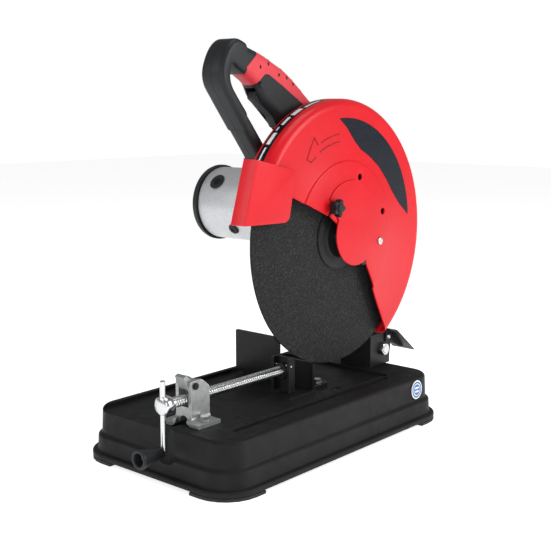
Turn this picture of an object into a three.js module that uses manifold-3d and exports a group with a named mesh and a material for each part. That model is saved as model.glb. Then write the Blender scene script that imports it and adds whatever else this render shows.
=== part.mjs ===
// Abrasive chop saw for cutting metal stock, at rest with its head raised.
// Units are millimetres. X runs along the disc's axis, Y from the vise crank to the hinge, Z up.
// Everything is laid out from the middle of the base's footprint on the floor, and the finished
// group is shifted at the end so that its bounding box is centred over the origin.
import * as THREE from 'three';
import { mergeVertices } from 'three/addons/utils/BufferGeometryUtils.js';
import Module from 'manifold-3d';

const wasm = await Module();
wasm.setup();

// ---------------------------------------------------------------- driving dimensions
const gap = 0.3;                 // air left between neighbouring fixed pieces
const runFit = 0.1;              // radial clearance of a running fit

const base = {
  halfX: 140, halfY: 238, corner: 49, footTop: 4, flangeBottom: 4.3, flangeTop: 12,
  lowerX: 133, lowerY: 231, joggleLow: 31, joggleHigh: 37, upperX: 126.5, upperY: 224,
  top: 69.5, topRadius: 6, wall: 3, draft: 1.2,
};
const trough = { floor: 64.5, left: -114, right: 24, rear: 165, wideRight: 86 };
const slot = { x: 60, y: 24, halfX: 6, halfY: 56, corner: 5.9 };
const groove = { x: 91, y: -14.5, halfX: 1.9, halfY: 164, corner: 1.8, depth: 1.8 };
const cove = { y: -247, radius: 26, bottom: 25 };   // hollow in the front wall for the crank
const badge = { y: 175.5, z: 52, halfY: 13.5, halfZ: 13.8, proud: 1.2 };
const boltBore = 3.3;
const fenceBolts = [[-2, 62], [30, 62]];
const viseBolts = [[1.5, -182], [46.5, -182]];      // the left one stands in the trough
const pivot = { y: 209, z: 94, pinRadius: 6, hubRadius: 18 };
const bracket = { left: -16, right: 41, front: 178, rear: 228, wall: 4, cheekTop: 119, webTop: 112 };
const depthStop = { x: 8, z: 104, radius: 4 };
const rivet = { y: 221, z: 112, radius: 2 };
const spindle = { y: 66, z: 284 };
const motor = { y: 33, z: 322.6, radius: 52, left: -128, right: -20, capLeft: -140, capRadius: 55 };
const disc = { radius: 177.5, bore: 12.7, left: 58.5, right: 61.5 };
const guard = {
  y: 66, z: 285, radius: 188, left: 42, right: 76, wall: 2.5, fillet: 12,
  raisedRadius: 104.5, raisedBy: 2.5, holes: [[94, 366], [150, 314]], holeRadius: 4.6,
};
const cover = { left: 78.8, right: 80.8, pivotY: 140, pivotZ: 272 };
const knob = { y: 31, z: 328, slotLength: 26, slotHalf: 3.6 };
const deflector = { left: 78.6, right: 80.6, lip: 58, screwY: -72, screwZ: 372 };
const brush = { x: -99.6, upper: 140, lower: -40, wellRadius: 6.3 };
const gland = { x: -66, angle: -143, bore: 3 };
const screw = {
  x: 24, z: 100.5, radius: 7, front: -236, rear: -4.6, headRear: -222, rodY: -232, crankZ: 42,
};
const nutPin = { y: -190, z: 119, radius: 3 };
const jaw = {
  left: 8, right: 40, front: -12, rear: 0, bottom: 71, top: 119, wall: 4, pinY: -8, pinZ: 108.1,
};
const fence = { left: -110, right: 40, front: 40, wall: 4 };
const handle = { left: -2, right: 36, seam: 17, gripInset: 3 };
const triggerPivot = { y: -12, z: 441, radius: 2 };
const lockOff = { y: -61, z: 490 };
const lockX = -6;                // the spindle lock button stands here on the gear case
const gear = { teeth: 26, pinionTeeth: 8, module: 3, left: 2, right: 14 };

// ---------------------------------------------------------------- materials
function paint(colour, roughness, metalness) {
  return new THREE.MeshStandardMaterial({ color: colour, roughness, metalness });
}

const blackPaint = paint(0x1b1b1d, 0.55, 0.1);
const blackPlastic = paint(0x202226, 0.45, 0);
const redPaint = paint(0xd8202a, 0.28, 0.05);
const redRubber = paint(0xd22a34, 0.5, 0);
const silver = paint(0xc9ccd0, 0.32, 0.85);
const greySteel = paint(0xa9adad, 0.42, 0.7);
const chrome = paint(0xdcdfe2, 0.12, 1);
const abrasive = paint(0x3a3b3d, 0.9, 0);
const rubber = paint(0x141414, 0.85, 0);
const badgeBlue = paint(0x2f6db5, 0.4, 0);
const copper = paint(0xa8602f, 0.4, 0.7);

// ---------------------------------------------------------------- solids from three.js geometry
// A closed three.js geometry as a manifold solid, wound with its faces pointing out.
function solid(geometry) {
  const bare = geometry.clone();
  bare.deleteAttribute('normal');
  bare.deleteAttribute('uv');
  const merged = mergeVertices(bare, 1e-4);
  const points = merged.attributes.position.array;
  const corners = merged.index.array;
  const triangles = [];
  let volume = 0;
  for (let i = 0; i < corners.length; i += 3) {
    const [a, b, c] = [corners[i], corners[i + 1], corners[i + 2]];
    if (a === b || b === c || c === a) continue;
    triangles.push(a, b, c);
    const pa = new THREE.Vector3().fromArray(points, 3 * a);
    const pb = new THREE.Vector3().fromArray(points, 3 * b);
    const pc = new THREE.Vector3().fromArray(points, 3 * c);
    volume += pa.dot(pb.cross(pc));
  }
  if (volume < 0) triangles.reverse();
  const mesh = new wasm.Mesh({
    numProp: 3,
    vertProperties: new Float32Array(points),
    triVerts: new Uint32Array(triangles),
  });
  return new wasm.Manifold(mesh);
}

// Turns a solid modelled over (u, v) and extruded along w so that w runs along the named axis.
// 'x': (u, v) = (y, z).  'y': (u, v) = (x, z), w = -y.  'z': (u, v) = (x, y).
function orient(geometry, axis) {
  if (axis === 'x') {
    const basis = new THREE.Matrix4().makeBasis(
      new THREE.Vector3(0, 1, 0), new THREE.Vector3(0, 0, 1), new THREE.Vector3(1, 0, 0));
    geometry.applyMatrix4(basis);
  }
  if (axis === 'y') geometry.rotateX(Math.PI / 2);
  return geometry;
}

// A plate of the given outline between two planes across an axis, with its edges bevelled.
function plate(outline, axis, from, to, edge = 0, steps = 1, curveSegments = 3) {
  const low = axis === 'y' ? -to : from;
  const options = { depth: to - from - 2 * edge, curveSegments, bevelEnabled: edge > 0 };
  if (edge > 0) {
    Object.assign(options, {
      bevelThickness: edge, bevelSize: edge, bevelOffset: -edge, bevelSegments: steps,
    });
  }
  const geometry = new THREE.ExtrudeGeometry(outline, options);
  geometry.translate(0, 0, low + edge);
  return solid(orient(geometry, axis));
}

// A round bar along an axis; (a, b) are its two other coordinates in x, y, z order.
function bar(axis, radius, from, to, a, b, sides = 12, farRadius = radius) {
  const geometry = new THREE.CylinderGeometry(farRadius, radius, to - from, sides);
  geometry.translate(0, (from + to) / 2, 0);
  if (axis === 'x') geometry.rotateZ(-Math.PI / 2).translate(0, a, b);
  if (axis === 'y') geometry.translate(a, 0, b);
  if (axis === 'z') geometry.rotateX(Math.PI / 2).translate(a, b, 0);
  return solid(geometry);
}

// A turned piece: profile points are [radius, position along the axis], starting and ending on it.
function turned(axis, profile, a, b, sides = 20) {
  const points = profile.map(([radius, along]) => new THREE.Vector2(radius, along));
  const geometry = new THREE.LatheGeometry(points, sides);
  if (axis === 'x') geometry.rotateZ(-Math.PI / 2).translate(0, a, b);
  if (axis === 'y') geometry.translate(a, 0, b);
  if (axis === 'z') geometry.rotateX(Math.PI / 2).translate(a, b, 0);
  return solid(geometry);
}

function block(x0, x1, y0, y1, z0, z1) {
  const geometry = new THREE.BoxGeometry(x1 - x0, y1 - y0, z1 - z0);
  return solid(geometry.translate((x0 + x1) / 2, (y0 + y1) / 2, (z0 + z1) / 2));
}

// A six-sided bar for bolt heads and nuts, `across` its flats.
function hexagon(axis, across, from, to, a, b) {
  return bar(axis, across / Math.sqrt(3), from, to, a, b, 6);
}

function polygon(points) {
  return new THREE.Shape(points.map(([u, v]) => new THREE.Vector2(u, v)));
}

function circle(u, v, radius) {
  return new THREE.Shape().absarc(u, v, radius, 0, 2 * Math.PI, false);
}

// A rounded rectangle centred on (u, v).
function roundedRect(halfU, halfV, corner, u = 0, v = 0) {
  const shape = new THREE.Shape();
  const quarter = Math.PI / 2;
  shape.absarc(u + halfU - corner, v - halfV + corner, corner, -quarter, 0, false);
  shape.absarc(u + halfU - corner, v + halfV - corner, corner, 0, quarter, false);
  shape.absarc(u - halfU + corner, v + halfV - corner, corner, quarter, 2 * quarter, false);
  shape.absarc(u - halfU + corner, v - halfV + corner, corner, 2 * quarter, 3 * quarter, false);
  return shape;
}

// A closed outline whose corners are rounded to the radius given with each point.
function roundedOutline(corners) {
  const shape = new THREE.Shape();
  const count = corners.length;
  corners.forEach(([u, v, radius], i) => {
    const here = new THREE.Vector2(u, v);
    const before = new THREE.Vector2(...corners[(i + count - 1) % count].slice(0, 2));
    const after = new THREE.Vector2(...corners[(i + 1) % count].slice(0, 2));
    const inward = before.sub(here).normalize();
    const outward = after.sub(here).normalize();
    const start = here.clone().addScaledVector(inward, radius);
    const end = here.clone().addScaledVector(outward, radius);
    if (i === 0) shape.moveTo(start.x, start.y);
    else shape.lineTo(start.x, start.y);
    if (radius > 0) shape.quadraticCurveTo(u, v, end.x, end.y);
  });
  shape.closePath();
  return shape;
}

function union(pieces) {
  return pieces.reduce((sum, piece) => sum.add(piece));
}

function cut(body, tools) {
  return tools.reduce((rest, tool) => rest.subtract(tool), body);
}

// ---------------------------------------------------------------- the group
const saw = new THREE.Group();

function addPiece(name, body, material) {
  const result = body.getMesh();
  const geometry = new THREE.BufferGeometry();
  const positions = new Float32Array(result.vertProperties);
  geometry.setAttribute('position', new THREE.BufferAttribute(positions, 3));
  geometry.setIndex(new THREE.BufferAttribute(new Uint32Array(result.triVerts), 1));
  geometry.computeVertexNormals();
  const mesh = new THREE.Mesh(geometry, material);
  mesh.name = name;
  saw.add(mesh);
}

// ---------------------------------------------------------------- base
// One course of the base wall: its sides lean in by `inset` between heights z0 and z1.
function course(halfX, halfY, corner, z0, z1, inset, steps = 1) {
  const rise = z1 - z0;
  const geometry = new THREE.ExtrudeGeometry(roundedRect(halfX, halfY, corner), {
    depth: rise, curveSegments: 2, bevelEnabled: true,
    bevelThickness: rise, bevelSize: inset, bevelOffset: -inset, bevelSegments: steps,
  });
  geometry.translate(0, 0, z0 - rise);
  return solid(geometry).intersect(block(-halfX - 1, halfX + 1, -halfY - 1, halfY + 1, z0, z1));
}

// The stacked courses of the base, shrunk by `inset` all round, up to height `top`.
function baseStack(inset, top) {
  const { lowerX, lowerY, corner, upperX, upperY, draft, topRadius } = base;
  const inner = corner - 7 - inset;
  const shoulder = lowerX - upperX;
  return union([
    course(lowerX - inset, lowerY - inset, inner, 8, base.joggleLow, draft),
    course(lowerX - inset - draft, lowerY - inset - draft, inner - draft,
      base.joggleLow - 0.001, base.joggleHigh, shoulder - draft),
    course(upperX - inset, upperY - inset, inner - shoulder, base.joggleHigh - 0.001,
      top - topRadius, draft),
    course(upperX - inset - draft, upperY - inset - draft, inner - shoulder - draft,
      top - topRadius - 0.001, top, topRadius, 2),
  ]);
}

function troughOutline(grow) {
  const { left, right, rear, wideRight } = trough;
  return roundedOutline([
    [left - grow, -base.upperY - 12, 0],
    [right + grow, -base.upperY - 12, 0],
    [right + grow, 3 - grow / 2, 6],
    [64 + grow, 43 - grow, 6],
    [wideRight + grow, 60 - grow, 6],
    [wideRight + grow, rear + grow, 10],
    [left - grow, rear + grow, 10],
  ]);
}

function buildBase() {
  const flange = plate(roundedRect(base.halfX, base.halfY, base.corner), 'z',
    base.flangeBottom, base.flangeTop, 2);
  const shell = union([flange, baseStack(0, base.top)]);
  const ceiling = base.top - base.wall;
  const cavity = baseStack(base.wall, ceiling).add(
    plate(roundedRect(base.lowerX - base.wall, base.lowerY - base.wall, base.corner - 10), 'z', 3, 9));
  const underTrough = plate(troughOutline(base.wall), 'z', trough.floor - base.wall, ceiling + 1);
  const coveInside = bar('z', cove.radius + base.wall, 0, base.top + 1, screw.x, cove.y, 24);
  const insideCavity = cut(cavity, [underTrough, coveInside]);
  const below = 50;                  // a height under the table, clear of its underside
  const openings = [
    plate(troughOutline(0), 'z', trough.floor, base.top + 1),
    bar('z', cove.radius, cove.bottom, base.top + 1, screw.x, cove.y, 24),
    plate(roundedRect(slot.halfX, slot.halfY, slot.corner, slot.x, slot.y), 'z', below, base.top + 1),
    plate(roundedRect(groove.halfX, groove.halfY, groove.corner, groove.x, groove.y), 'z',
      base.top - groove.depth, base.top + 1),
    bar('z', 2, below, base.top + 1, 57, -134, 12),
  ];
  const holes = [...fenceBolts, ...viseBolts].map(([x, y]) => bar('z', boltBore, below,
    base.top + 1, x, y, 12));
  return cut(shell, [insideCavity, ...openings, ...holes]);
}

// A rubber foot wrapped under one corner of the flange.
function buildFoot(sideX, sideY) {
  const width = 24;
  const reach = 66;
  const outer = plate(roundedRect(base.halfX, base.halfY, base.corner), 'z', 0, base.footTop);
  const inner = plate(roundedRect(base.halfX - width, base.halfY - width, base.corner - width + 2),
    'z', -1, base.footTop + 1);
  const x0 = sideX > 0 ? base.halfX - reach : -base.halfX - 1;
  const y0 = sideY > 0 ? base.halfY - reach : -base.halfY - 1;
  const corner = block(x0, x0 + reach + 1, y0, y0 + reach + 1, -1, base.footTop + 1);
  return outer.subtract(inner).intersect(corner);
}

// Oval badge lying on the right wall, bent over its joggle.
function buildBadge() {
  const { y, z, halfY, halfZ, proud } = badge;
  const oval = new THREE.Shape().absellipse(y, z, halfY, halfZ, 0, 2 * Math.PI, false, 0);
  const skin = baseStack(-proud, base.top + proud).subtract(baseStack(-gap, base.top + gap));
  return skin.intersect(plate(oval, 'x', base.upperX - 15, base.halfX, 0, 1, 10));
}

// ---------------------------------------------------------------- hinge bracket and its pieces
function buildHingeBracket() {
  const { left, right, front, rear, wall, cheekTop, webTop } = bracket;
  const bottom = base.top + gap;
  const cheek = roundedOutline([
    [front, bottom, 0], [rear, bottom, 0], [rear, 84, 6], [rear + 3, 100, 6],
    [rear - 2, cheekTop, 8], [front, cheekTop, 3],
  ]);
  const body = union([
    plate(cheek, 'x', left, left + wall),
    plate(cheek, 'x', right - wall, right),
    block(left, right, front, front + wall, bottom, webTop),
    block(left, right, front, rear, bottom, bottom + wall),
  ]);
  return cut(body, [
    bar('x', pivot.pinRadius + gap, left - 1, right + 1, pivot.y, pivot.z, 24),
    bar('y', depthStop.radius + gap, front - 1, front + wall + 1, depthStop.x, depthStop.z, 16),
    bar('x', rivet.radius + gap, right - wall - 1, right + 1, rivet.y, rivet.z, 12),
  ]);
}

function buildPivotBolt() {
  const { left, right } = bracket;
  return union([
    bar('x', pivot.pinRadius, left - 9, right + 1, pivot.y, pivot.z, 32),
    hexagon('x', 17, right + gap, right + 6.5, pivot.y, pivot.z),
    turned('x', [[0, right + 6], [7.4, right + 6], [6.6, right + 7.4], [0, right + 7.4]],
      pivot.y, pivot.z, 20),
  ]);
}

function buildPivotNut() {
  const { left } = bracket;
  const nut = hexagon('x', 17, left - 7, left - gap, pivot.y, pivot.z);
  return nut.subtract(bar('x', pivot.pinRadius + gap, left - 8, left + 1, pivot.y, pivot.z, 32));
}

// Torsion spring round the hinge pin, on the right of the head's hub.
function buildReturnSpring() {
  const turns = 2.5;
  const coilRadius = 12;
  const wire = 1.4;
  const first = 28;
  const last = 34.5;
  class Coil extends THREE.Curve {
    getPoint(t) {
      const angle = Math.PI + 2 * Math.PI * turns * t;
      return new THREE.Vector3(first + (last - first) * t,
        pivot.y + coilRadius * Math.cos(angle), pivot.z + coilRadius * Math.sin(angle));
    }
  }
  const geometry = new THREE.ExtrudeGeometry(circle(0, 0, wire), {
    steps: 28, curveSegments: 2, bevelEnabled: false, extrudePath: new Coil(),
  });
  return solid(geometry);
}

function buildDepthStop() {
  const { x, z, radius } = depthStop;
  return union([
    hexagon('y', 13, 168, 173, x, z),
    bar('y', radius, 172, 185.1, x, z, 16),
    hexagon('y', 13, 174, bracket.front - gap, x, z),
  ]);
}

// Sloped plate behind the hinge that turns the sparks down, with a gusset on the bracket's cheek.
function buildRearDeflector() {
  const slope = [
    [201, 127, 0], [219, 122.6, 5], [267.5, 84.6, 0], [269, 85.6, 0], [220, 124.8, 5], [201.6, 129.4, 0],
  ];
  const behindHinge = [[236, 110, 0], [267.5, 84.6, 0], [269, 85.6, 0], [237.5, 110.9, 0]];
  const gusset = [
    [214, 104, 3], [227, 102, 6], [249, 91.5, 4], [262, 88.6, 0], [221, 122, 2], [214, 123, 0],
  ];
  const left = bracket.right + gap;
  const body = union([
    plate(roundedOutline(slope), 'x', left, 60),
    plate(roundedOutline(behindHinge), 'x', 20, left + 1),
    plate(roundedOutline(gusset), 'x', left, left + 2.5),
  ]);
  return body.subtract(bar('x', rivet.radius + gap, left - 1, left + 4, rivet.y, rivet.z, 12));
}

function buildDeflectorRivet() {
  const { y, z, radius } = rivet;
  const inner = bracket.right - bracket.wall;
  const outer = bracket.right + gap + 2.5;
  return union([
    bar('x', radius, inner - 1, outer + 1, y, z, 12),
    turned('x', [[0, outer + gap], [4, outer + gap], [3, outer + 2], [0, outer + 2.4]], y, z, 16),
  ]);
}

// ---------------------------------------------------------------- fence
function buildFence() {
  const bottom = trough.floor + gap;
  const { left, right, front, wall } = fence;
  const upright = roundedOutline([
    [left, bottom + 6, 0], [left + 14, bottom + 6, 0], [left + 14, bottom, 0], [right, bottom, 0],
    [right, 104, 4], [-24, 104, 0], [-24, 121, 0], [-35, 131, 3], [left, 131, 2],
  ]);
  const foot = roundedRect(29, 19, 6, 11, front + 19);
  const body = union([
    plate(upright, 'y', front, front + wall),
    plate(foot, 'z', bottom, bottom + wall),
  ]);
  const bores = fenceBolts.map(([x, y]) => bar('z', boltBore, bottom - 1, bottom + wall + 1, x, y, 12));
  return cut(body, bores);
}

// A hex bolt with its washer, standing on a plate whose top is at height z.
function tableBolt([x, y], z) {
  const across = 11;
  return union([
    bar('z', 3, z - 14, z + 1, x, y, 12),
    bar('z', 6.8, z + gap, z + 1.6, x, y, 12),
    hexagon('z', across, z + 1.5, z + 6, x, y),
  ]);
}

// ---------------------------------------------------------------- vise
function buildViseBracket() {
  const front = -197;
  const rear = -165;
  const leg = roundedOutline([
    [front, 70, 0], [rear, 70, 0], [rear, 115, 3], [rear - 13, 126, 3], [front, 126, 3],
  ]);
  const lift = base.top + gap;
  const drop = trough.floor + gap;
  const rightFoot = roundedRect(12, 19, 5, 45, -184);
  const leftFoot = roundedRect(12, 19, 5, 3, -184);
  const arch = new THREE.Shape();
  arch.moveTo(11, lift);
  arch.absarc(screw.x, lift, 8.5, Math.PI, 0, true);
  arch.lineTo(37, lift);
  arch.lineTo(37, 91.5);
  arch.lineTo(11, 91.5);
  arch.closePath();
  const body = union([
    plate(leg, 'x', 33, 38),
    plate(leg, 'x', 10, 15),
    block(10, 15, front, rear, drop, 72),
    plate(rightFoot, 'z', lift, lift + 5),
    plate(leftFoot, 'z', drop, drop + 5),
    block(33, 38, front, rear, lift, 72),
    plate(arch, 'y', front, front + 5),
  ]);
  return cut(body, [
    bar('x', nutPin.radius + gap, 9, 39, nutPin.y, nutPin.z, 14),
    bar('z', boltBore, drop - 1, drop + 6, ...viseBolts[0], 16),
    bar('z', boltBore, lift - 1, lift + 6, ...viseBolts[1], 16),
  ]);
}

function buildNutPin() {
  return union([
    bar('x', nutPin.radius, 6.5, 41.5, nutPin.y, nutPin.z, 14),
    bar('x', 4.6, 38 + gap, 40, nutPin.y, nutPin.z, 12),
    bar('x', 4.6, 8, 10 - gap, nutPin.y, nutPin.z, 12),
  ]);
}

// Half nut hooked over the screw; its tab is pushed down to lift it off the thread.
function buildHalfNut() {
  const side = roundedOutline([
    [-196, 113, 3], [-187, 113, 0], [-186, 101.5, 0], [-167.5, 101.5, 0], [-167.5, 114, 4],
    [-180, 126, 5], [-194, 127, 3], [-199, 133.5, 0], [-204, 131, 0],
  ]);
  return cut(plate(side, 'x', 15.4, 32.6, 0.5), [
    bar('x', nutPin.radius + runFit, 14, 34, nutPin.y, nutPin.z, 14),
    bar('y', screw.radius + 0.35, -190, -160, screw.x, screw.z, 20),
  ]);
}

function buildViseScrew() {
  const { x, z, radius, front, rear, headRear } = screw;
  const profile = [
    [0, front], [11, front], [12, front + 1.2], [12, headRear - 2], [11, headRear - 1], [8.5, headRear],
    [radius, headRear], [radius, -10.2], [5.6, -10.2], [5.6, -5.8], [radius, -5.8], [radius, rear],
    [0, rear],
  ];
  return turned('y', profile, x, z, 20).subtract(bar('z', 3.3, 80, 120, x, screw.rodY, 12));
}

function buildCrankRod() {
  const { x, rodY, crankZ } = screw;
  return union([
    bar('z', 3, crankZ - 3.2, crankZ + 90.5, x, rodY, 20),
    bar('y', 3, -264.5, rodY, x, crankZ, 20),
    bar('y', 5, -264.8, -262.4, x, crankZ, 20),
  ]);
}

function buildCrankGrip() {
  const grip = [
    [3 + runFit, -235.6], [7, -235.6], [7.6, -240], [9.5, -256], [12.2, -270], [12.5, -272.6],
    [11.6, -274], [8.4, -274], [7.4, -272], [7.4, -262], [3 + runFit, -262], [3 + runFit, -235.6],
  ];
  return turned('y', grip, screw.x, screw.crankZ, 16);
}

function buildJaw() {
  const { left, right, front, rear, bottom, top, wall, pinY, pinZ } = jaw;
  const body = union([
    block(left, right, rear - wall, rear, bottom, top),
    block(left, left + wall, front, rear, bottom, top),
    block(right - wall, right, front, rear, bottom, top),
    bar('y', 11, front, rear - 1, screw.x, screw.z, 20),
  ]);
  return cut(body, [
    bar('y', screw.radius + runFit, front - 1, rear - wall, screw.x, screw.z, 20),
    bar('x', 1.8, left - 1, right + 1, pinY, pinZ, 12),
  ]);
}

// ---------------------------------------------------------------- cutting head
function headCasing(grow) {
  const arm = roundedOutline([
    [pivot.y - 17.5, pivot.z - 4, 0], [pivot.y + 17.5, pivot.z - 4, 0], [pivot.y + 19, 150, 30],
    [150, 262, 20], [112, 318, 20], [60, 300, 10], [96, 240, 30], [pivot.y - 19, 152, 30],
  ]);
  const right = guard.left - gap;
  return union([
    plate(arm, 'x', -8 - grow, 25 + grow),
    bar('x', 47 + grow, -18 - grow, right, spindle.y, spindle.z, 24),
    bar('x', 50 + grow, -20 + gap - grow, right, motor.y, motor.z, 24),
  ]);
}

function buildGearHousing() {
  const right = guard.left - gap;
  const hub = bar('x', pivot.hubRadius, -9, 26, pivot.y, pivot.z, 24);
  const outside = headCasing(0).add(hub);
  const gearRoom = bar('x', 43, -1, 17, spindle.y, spindle.z, 24);
  const pinionRoom = bar('x', 17, -1, 24, motor.y, motor.z, 16);
  return cut(outside, [
    gearRoom,
    pinionRoom,
    bar('x', 15 + gap, -13, right + 1, spindle.y, spindle.z, 20),
    bar('x', 21 + gap, 20, right + 1, spindle.y, spindle.z, 20),
    bar('x', 14 + gap, -21, 2, motor.y, motor.z, 20),
    bar('x', pivot.pinRadius + runFit, -10, 27, pivot.y, pivot.z, 32),
    bar('z', 4.2, 350, 384, lockX, motor.y, 20),
  ]);
}

function guardOutline() {
  return polygon([
    [29, 315], [-178, 401], [-178, 520], [300, 520], [300, 90], [188, 90], [168, 135], [140, 187],
    [127, 216], [108, 249], [62, 292],
  ]);
}

// The pan shape of the guard before its outline is cut: face, rolled outer edge, rim and back face.
function guardPan(inset) {
  const { radius, left, right, fillet } = guard;
  const outer = radius - inset;
  const bend = fillet - inset;
  const profile = [[0, left + inset], [outer - 1.5, left + inset], [outer, left + inset + 1.5]];
  for (let i = 0; i <= 3; i += 1) {
    const angle = (i * Math.PI) / 6;
    profile.push([outer - bend + bend * Math.cos(angle), right - inset - bend + bend * Math.sin(angle)]);
  }
  profile.push([0, right - inset]);
  return turned('x', profile, guard.y, guard.z, 52);
}

// The open slot that the wing knob's stud slides out of when the cover swings away.
function knobSlot(from, to) {
  const { y, z, slotLength, slotHalf } = knob;
  const along = new THREE.Vector2(cover.pivotZ - z, y - cover.pivotY).normalize();
  const across = new THREE.Vector2(-along.y, along.x).multiplyScalar(slotHalf);
  const start = new THREE.Vector2(y, z);
  const end = start.clone().addScaledVector(along, slotLength);
  const outline = [
    start.clone().sub(across), start.clone().add(across), end.clone().add(across), end.clone().sub(across),
  ];
  return plate(new THREE.Shape(outline), 'x', from, to);
}

function buildGuard() {
  const { y, z, right, wall, raisedRadius, raisedBy, holeRadius } = guard;
  const shell = guardPan(0).subtract(guardPan(wall));
  const raised = turned('x', [[0, right - 1], [raisedRadius + 2, right - 1], [raisedRadius + 2, right],
    [raisedRadius, right + raisedBy], [0, right + raisedBy]], y, z, 32);
  const pressed = turned('x', [[0, right - wall - 1], [raisedRadius - 1, right - wall - 1],
    [raisedRadius - 2, right], [0, right]], y, z, 32);
  const outline = plate(guardOutline(), 'x', guard.left - 1, right + 4);
  const body = shell.subtract(pressed).add(raised.subtract(pressed)).intersect(outline);
  const holes = guard.holes.map(([a, b]) => bar('x', holeRadius, right - 6, right + 4, a, b, 12));
  return cut(body, [
    ...holes,
    bar('x', 3.3, right - 6, right + 4, cover.pivotY, cover.pivotZ, 12),
    bar('x', knob.slotHalf, right - 6, right + 4, knob.y, knob.z, 12),
    knobSlot(right - 6, right + 4),
    bar('x', 3.3, right - 6, right + 1, deflector.screwY, deflector.screwZ, 12),
    bar('x', 26, guard.left - 1, guard.left + 4, spindle.y, spindle.z, 32),
  ]);
}

function buildCoverPlate() {
  const shape = new THREE.Shape();
  const degree = Math.PI / 180;
  shape.moveTo(26, 340);
  shape.quadraticCurveTo(46, 362, 77, 363.3);
  shape.absarc(guard.y, guard.z, 79, 82 * degree, -12 * degree, true);
  shape.lineTo(109, 248.5);
  shape.absarc(86, 289, 46, -60.5 * degree, -207.1 * degree, true);
  shape.closePath();
  return cut(plate(shape, 'x', cover.left, cover.right, 0, 1, 9), [
    bar('x', 3 + runFit, cover.left - 1, cover.right + 1, cover.pivotY, cover.pivotZ, 20),
    bar('x', 3.3, cover.left - 1, cover.right + 1, knob.y, knob.z, 12),
  ]);
}

function buildCoverScrew() {
  const { right } = cover;
  return union([
    bar('x', 3, guard.right - 4, right + 1, cover.pivotY, cover.pivotZ, 20),
    turned('x', [[0, right + gap], [5.5, right + gap], [5.2, right + 2.4], [3.4, right + 3.2],
      [0, right + 3.2]], cover.pivotY, cover.pivotZ, 12),
  ]);
}

// Knob with a stud, a round hub and five finger lobes.
function buildWingKnob() {
  const front = cover.right + gap;
  const hub = turned('x', [[0, front], [8.5, front], [8, front + 8], [6, front + 14], [0, front + 15]],
    knob.y, knob.z, 12);
  const lobeRadius = 4.6;
  const lobeAt = 8.4;
  const lobes = [0, 1, 2, 3, 4].map((i) => {
    const angle = (i * 2 * Math.PI) / 5 + 0.5;
    return bar('x', lobeRadius, front + 1, front + 12, knob.y + lobeAt * Math.cos(angle),
      knob.z + lobeAt * Math.sin(angle), 8, lobeRadius - 1);
  });
  return union([hub, ...lobes, bar('x', 2.9, guard.right - 5, front + 1, knob.y, knob.z, 16)]);
}

// Red L-shaped plate in front of the guard: a broad side face and a lip across the front.
function buildFrontDeflector() {
  const { left, right } = deflector;
  const top = [-119, 398];
  const bottom = [-143.5, 318];
  const face = roundedOutline([[...top, 0], [...bottom, 2], [-60, 316, 9], [-46, 382, 9]]);
  const lip = roundedOutline([
    [...top, 0], [top[0] - 2, top[1] + 0.6, 0], [bottom[0] - 2, bottom[1] + 0.6, 0], [...bottom, 0],
  ]);
  const body = union([
    plate(face, 'x', left, right),
    plate(lip, 'x', deflector.lip, right),
  ]);
  return body.subtract(bar('x', 3.3, left - 1, right - 0.8, deflector.screwY, deflector.screwZ, 12));
}

function buildDeflectorScrew() {
  const { screwY, screwZ } = deflector;
  const inside = guard.right - guard.wall;
  return union([
    bar('x', 3, inside - 1, 79.5, screwY, screwZ, 12),
    bar('x', 5.4, inside - 4, inside - gap, screwY, screwZ, 12),
    bar('x', 5, guard.right + gap, deflector.left - gap, screwY, screwZ, 12),
  ]);
}

// ---------------------------------------------------------------- motor
function buildMotorHousing() {
  const { y, z, radius, left, right } = motor;
  const shell = turned('x', [[47.9, left + gap], [radius - 1, left + gap], [radius, left + 1.5],
    [radius, right], [47.9, right], [47.9, left + gap]], y, z, 30);
  return cut(shell, [
    radialBar(radial(brush.upper), brush.wellRadius, 40, 60, brush.x),
    radialBar(radial(brush.lower), brush.wellRadius, 40, 60, brush.x),
    radialBar(radial(gland.angle), 5.3, 40, 60, gland.x, 12),
  ]);
}

function radial(degrees) {
  const angle = (degrees * Math.PI) / 180;
  return new THREE.Vector3(0, Math.cos(angle), Math.sin(angle));
}

// A round bar pointing away from the motor's axis, between two distances from it.
function radialBar(direction, radius, from, to, x, sides = 14, farRadius = radius) {
  const geometry = new THREE.CylinderGeometry(farRadius, radius, to - from, sides);
  geometry.translate(0, (from + to) / 2, 0);
  const turn = new THREE.Quaternion().setFromUnitVectors(new THREE.Vector3(0, 1, 0), direction);
  geometry.applyQuaternion(turn);
  geometry.translate(x, motor.y, motor.z);
  return solid(geometry);
}

function buildBrushCap(degrees) {
  const direction = radial(degrees);
  return union([
    radialBar(direction, brush.wellRadius - gap, 44, 52.5, brush.x),
    radialBar(direction, 12, 52.3, 53.6, brush.x, 20, 11.4),
    radialBar(direction, 3.5, 14.6, 45, brush.x, 12),
  ]);
}

function buildCordGland() {
  const direction = radial(gland.angle);
  return union([
    radialBar(direction, 5, 48.2, 52.5, gland.x, 12),
    radialBar(direction, 8.5, 52.3, 54.5, gland.x, 14, 7.4),
  ]).subtract(radialBar(direction, gland.bore, 40, 60, gland.x, 10));
}

function buildMotorCap() {
  const { y, z, left, capLeft, capRadius } = motor;
  const profile = [[0, capLeft], [capRadius - 6, capLeft], [capRadius - 1.8, capLeft + 1.6],
    [capRadius, capLeft + 5], [capRadius, left], [43, left], [43, left - 4], [0, left - 4]];
  const seat = bar('x', 15, left - 5, left + 6, y, z, 24).subtract(
    bar('x', 11 + gap, left - 6, left + 7, y, z, 24));
  return turned('x', profile, y, z, 30).add(seat);
}

function ring(axis, outer, inner, from, to, a, b, sides = 20) {
  return bar(axis, outer, from, to, a, b, sides).subtract(
    bar(axis, inner, from - 1, to + 1, a, b, sides));
}

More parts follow.
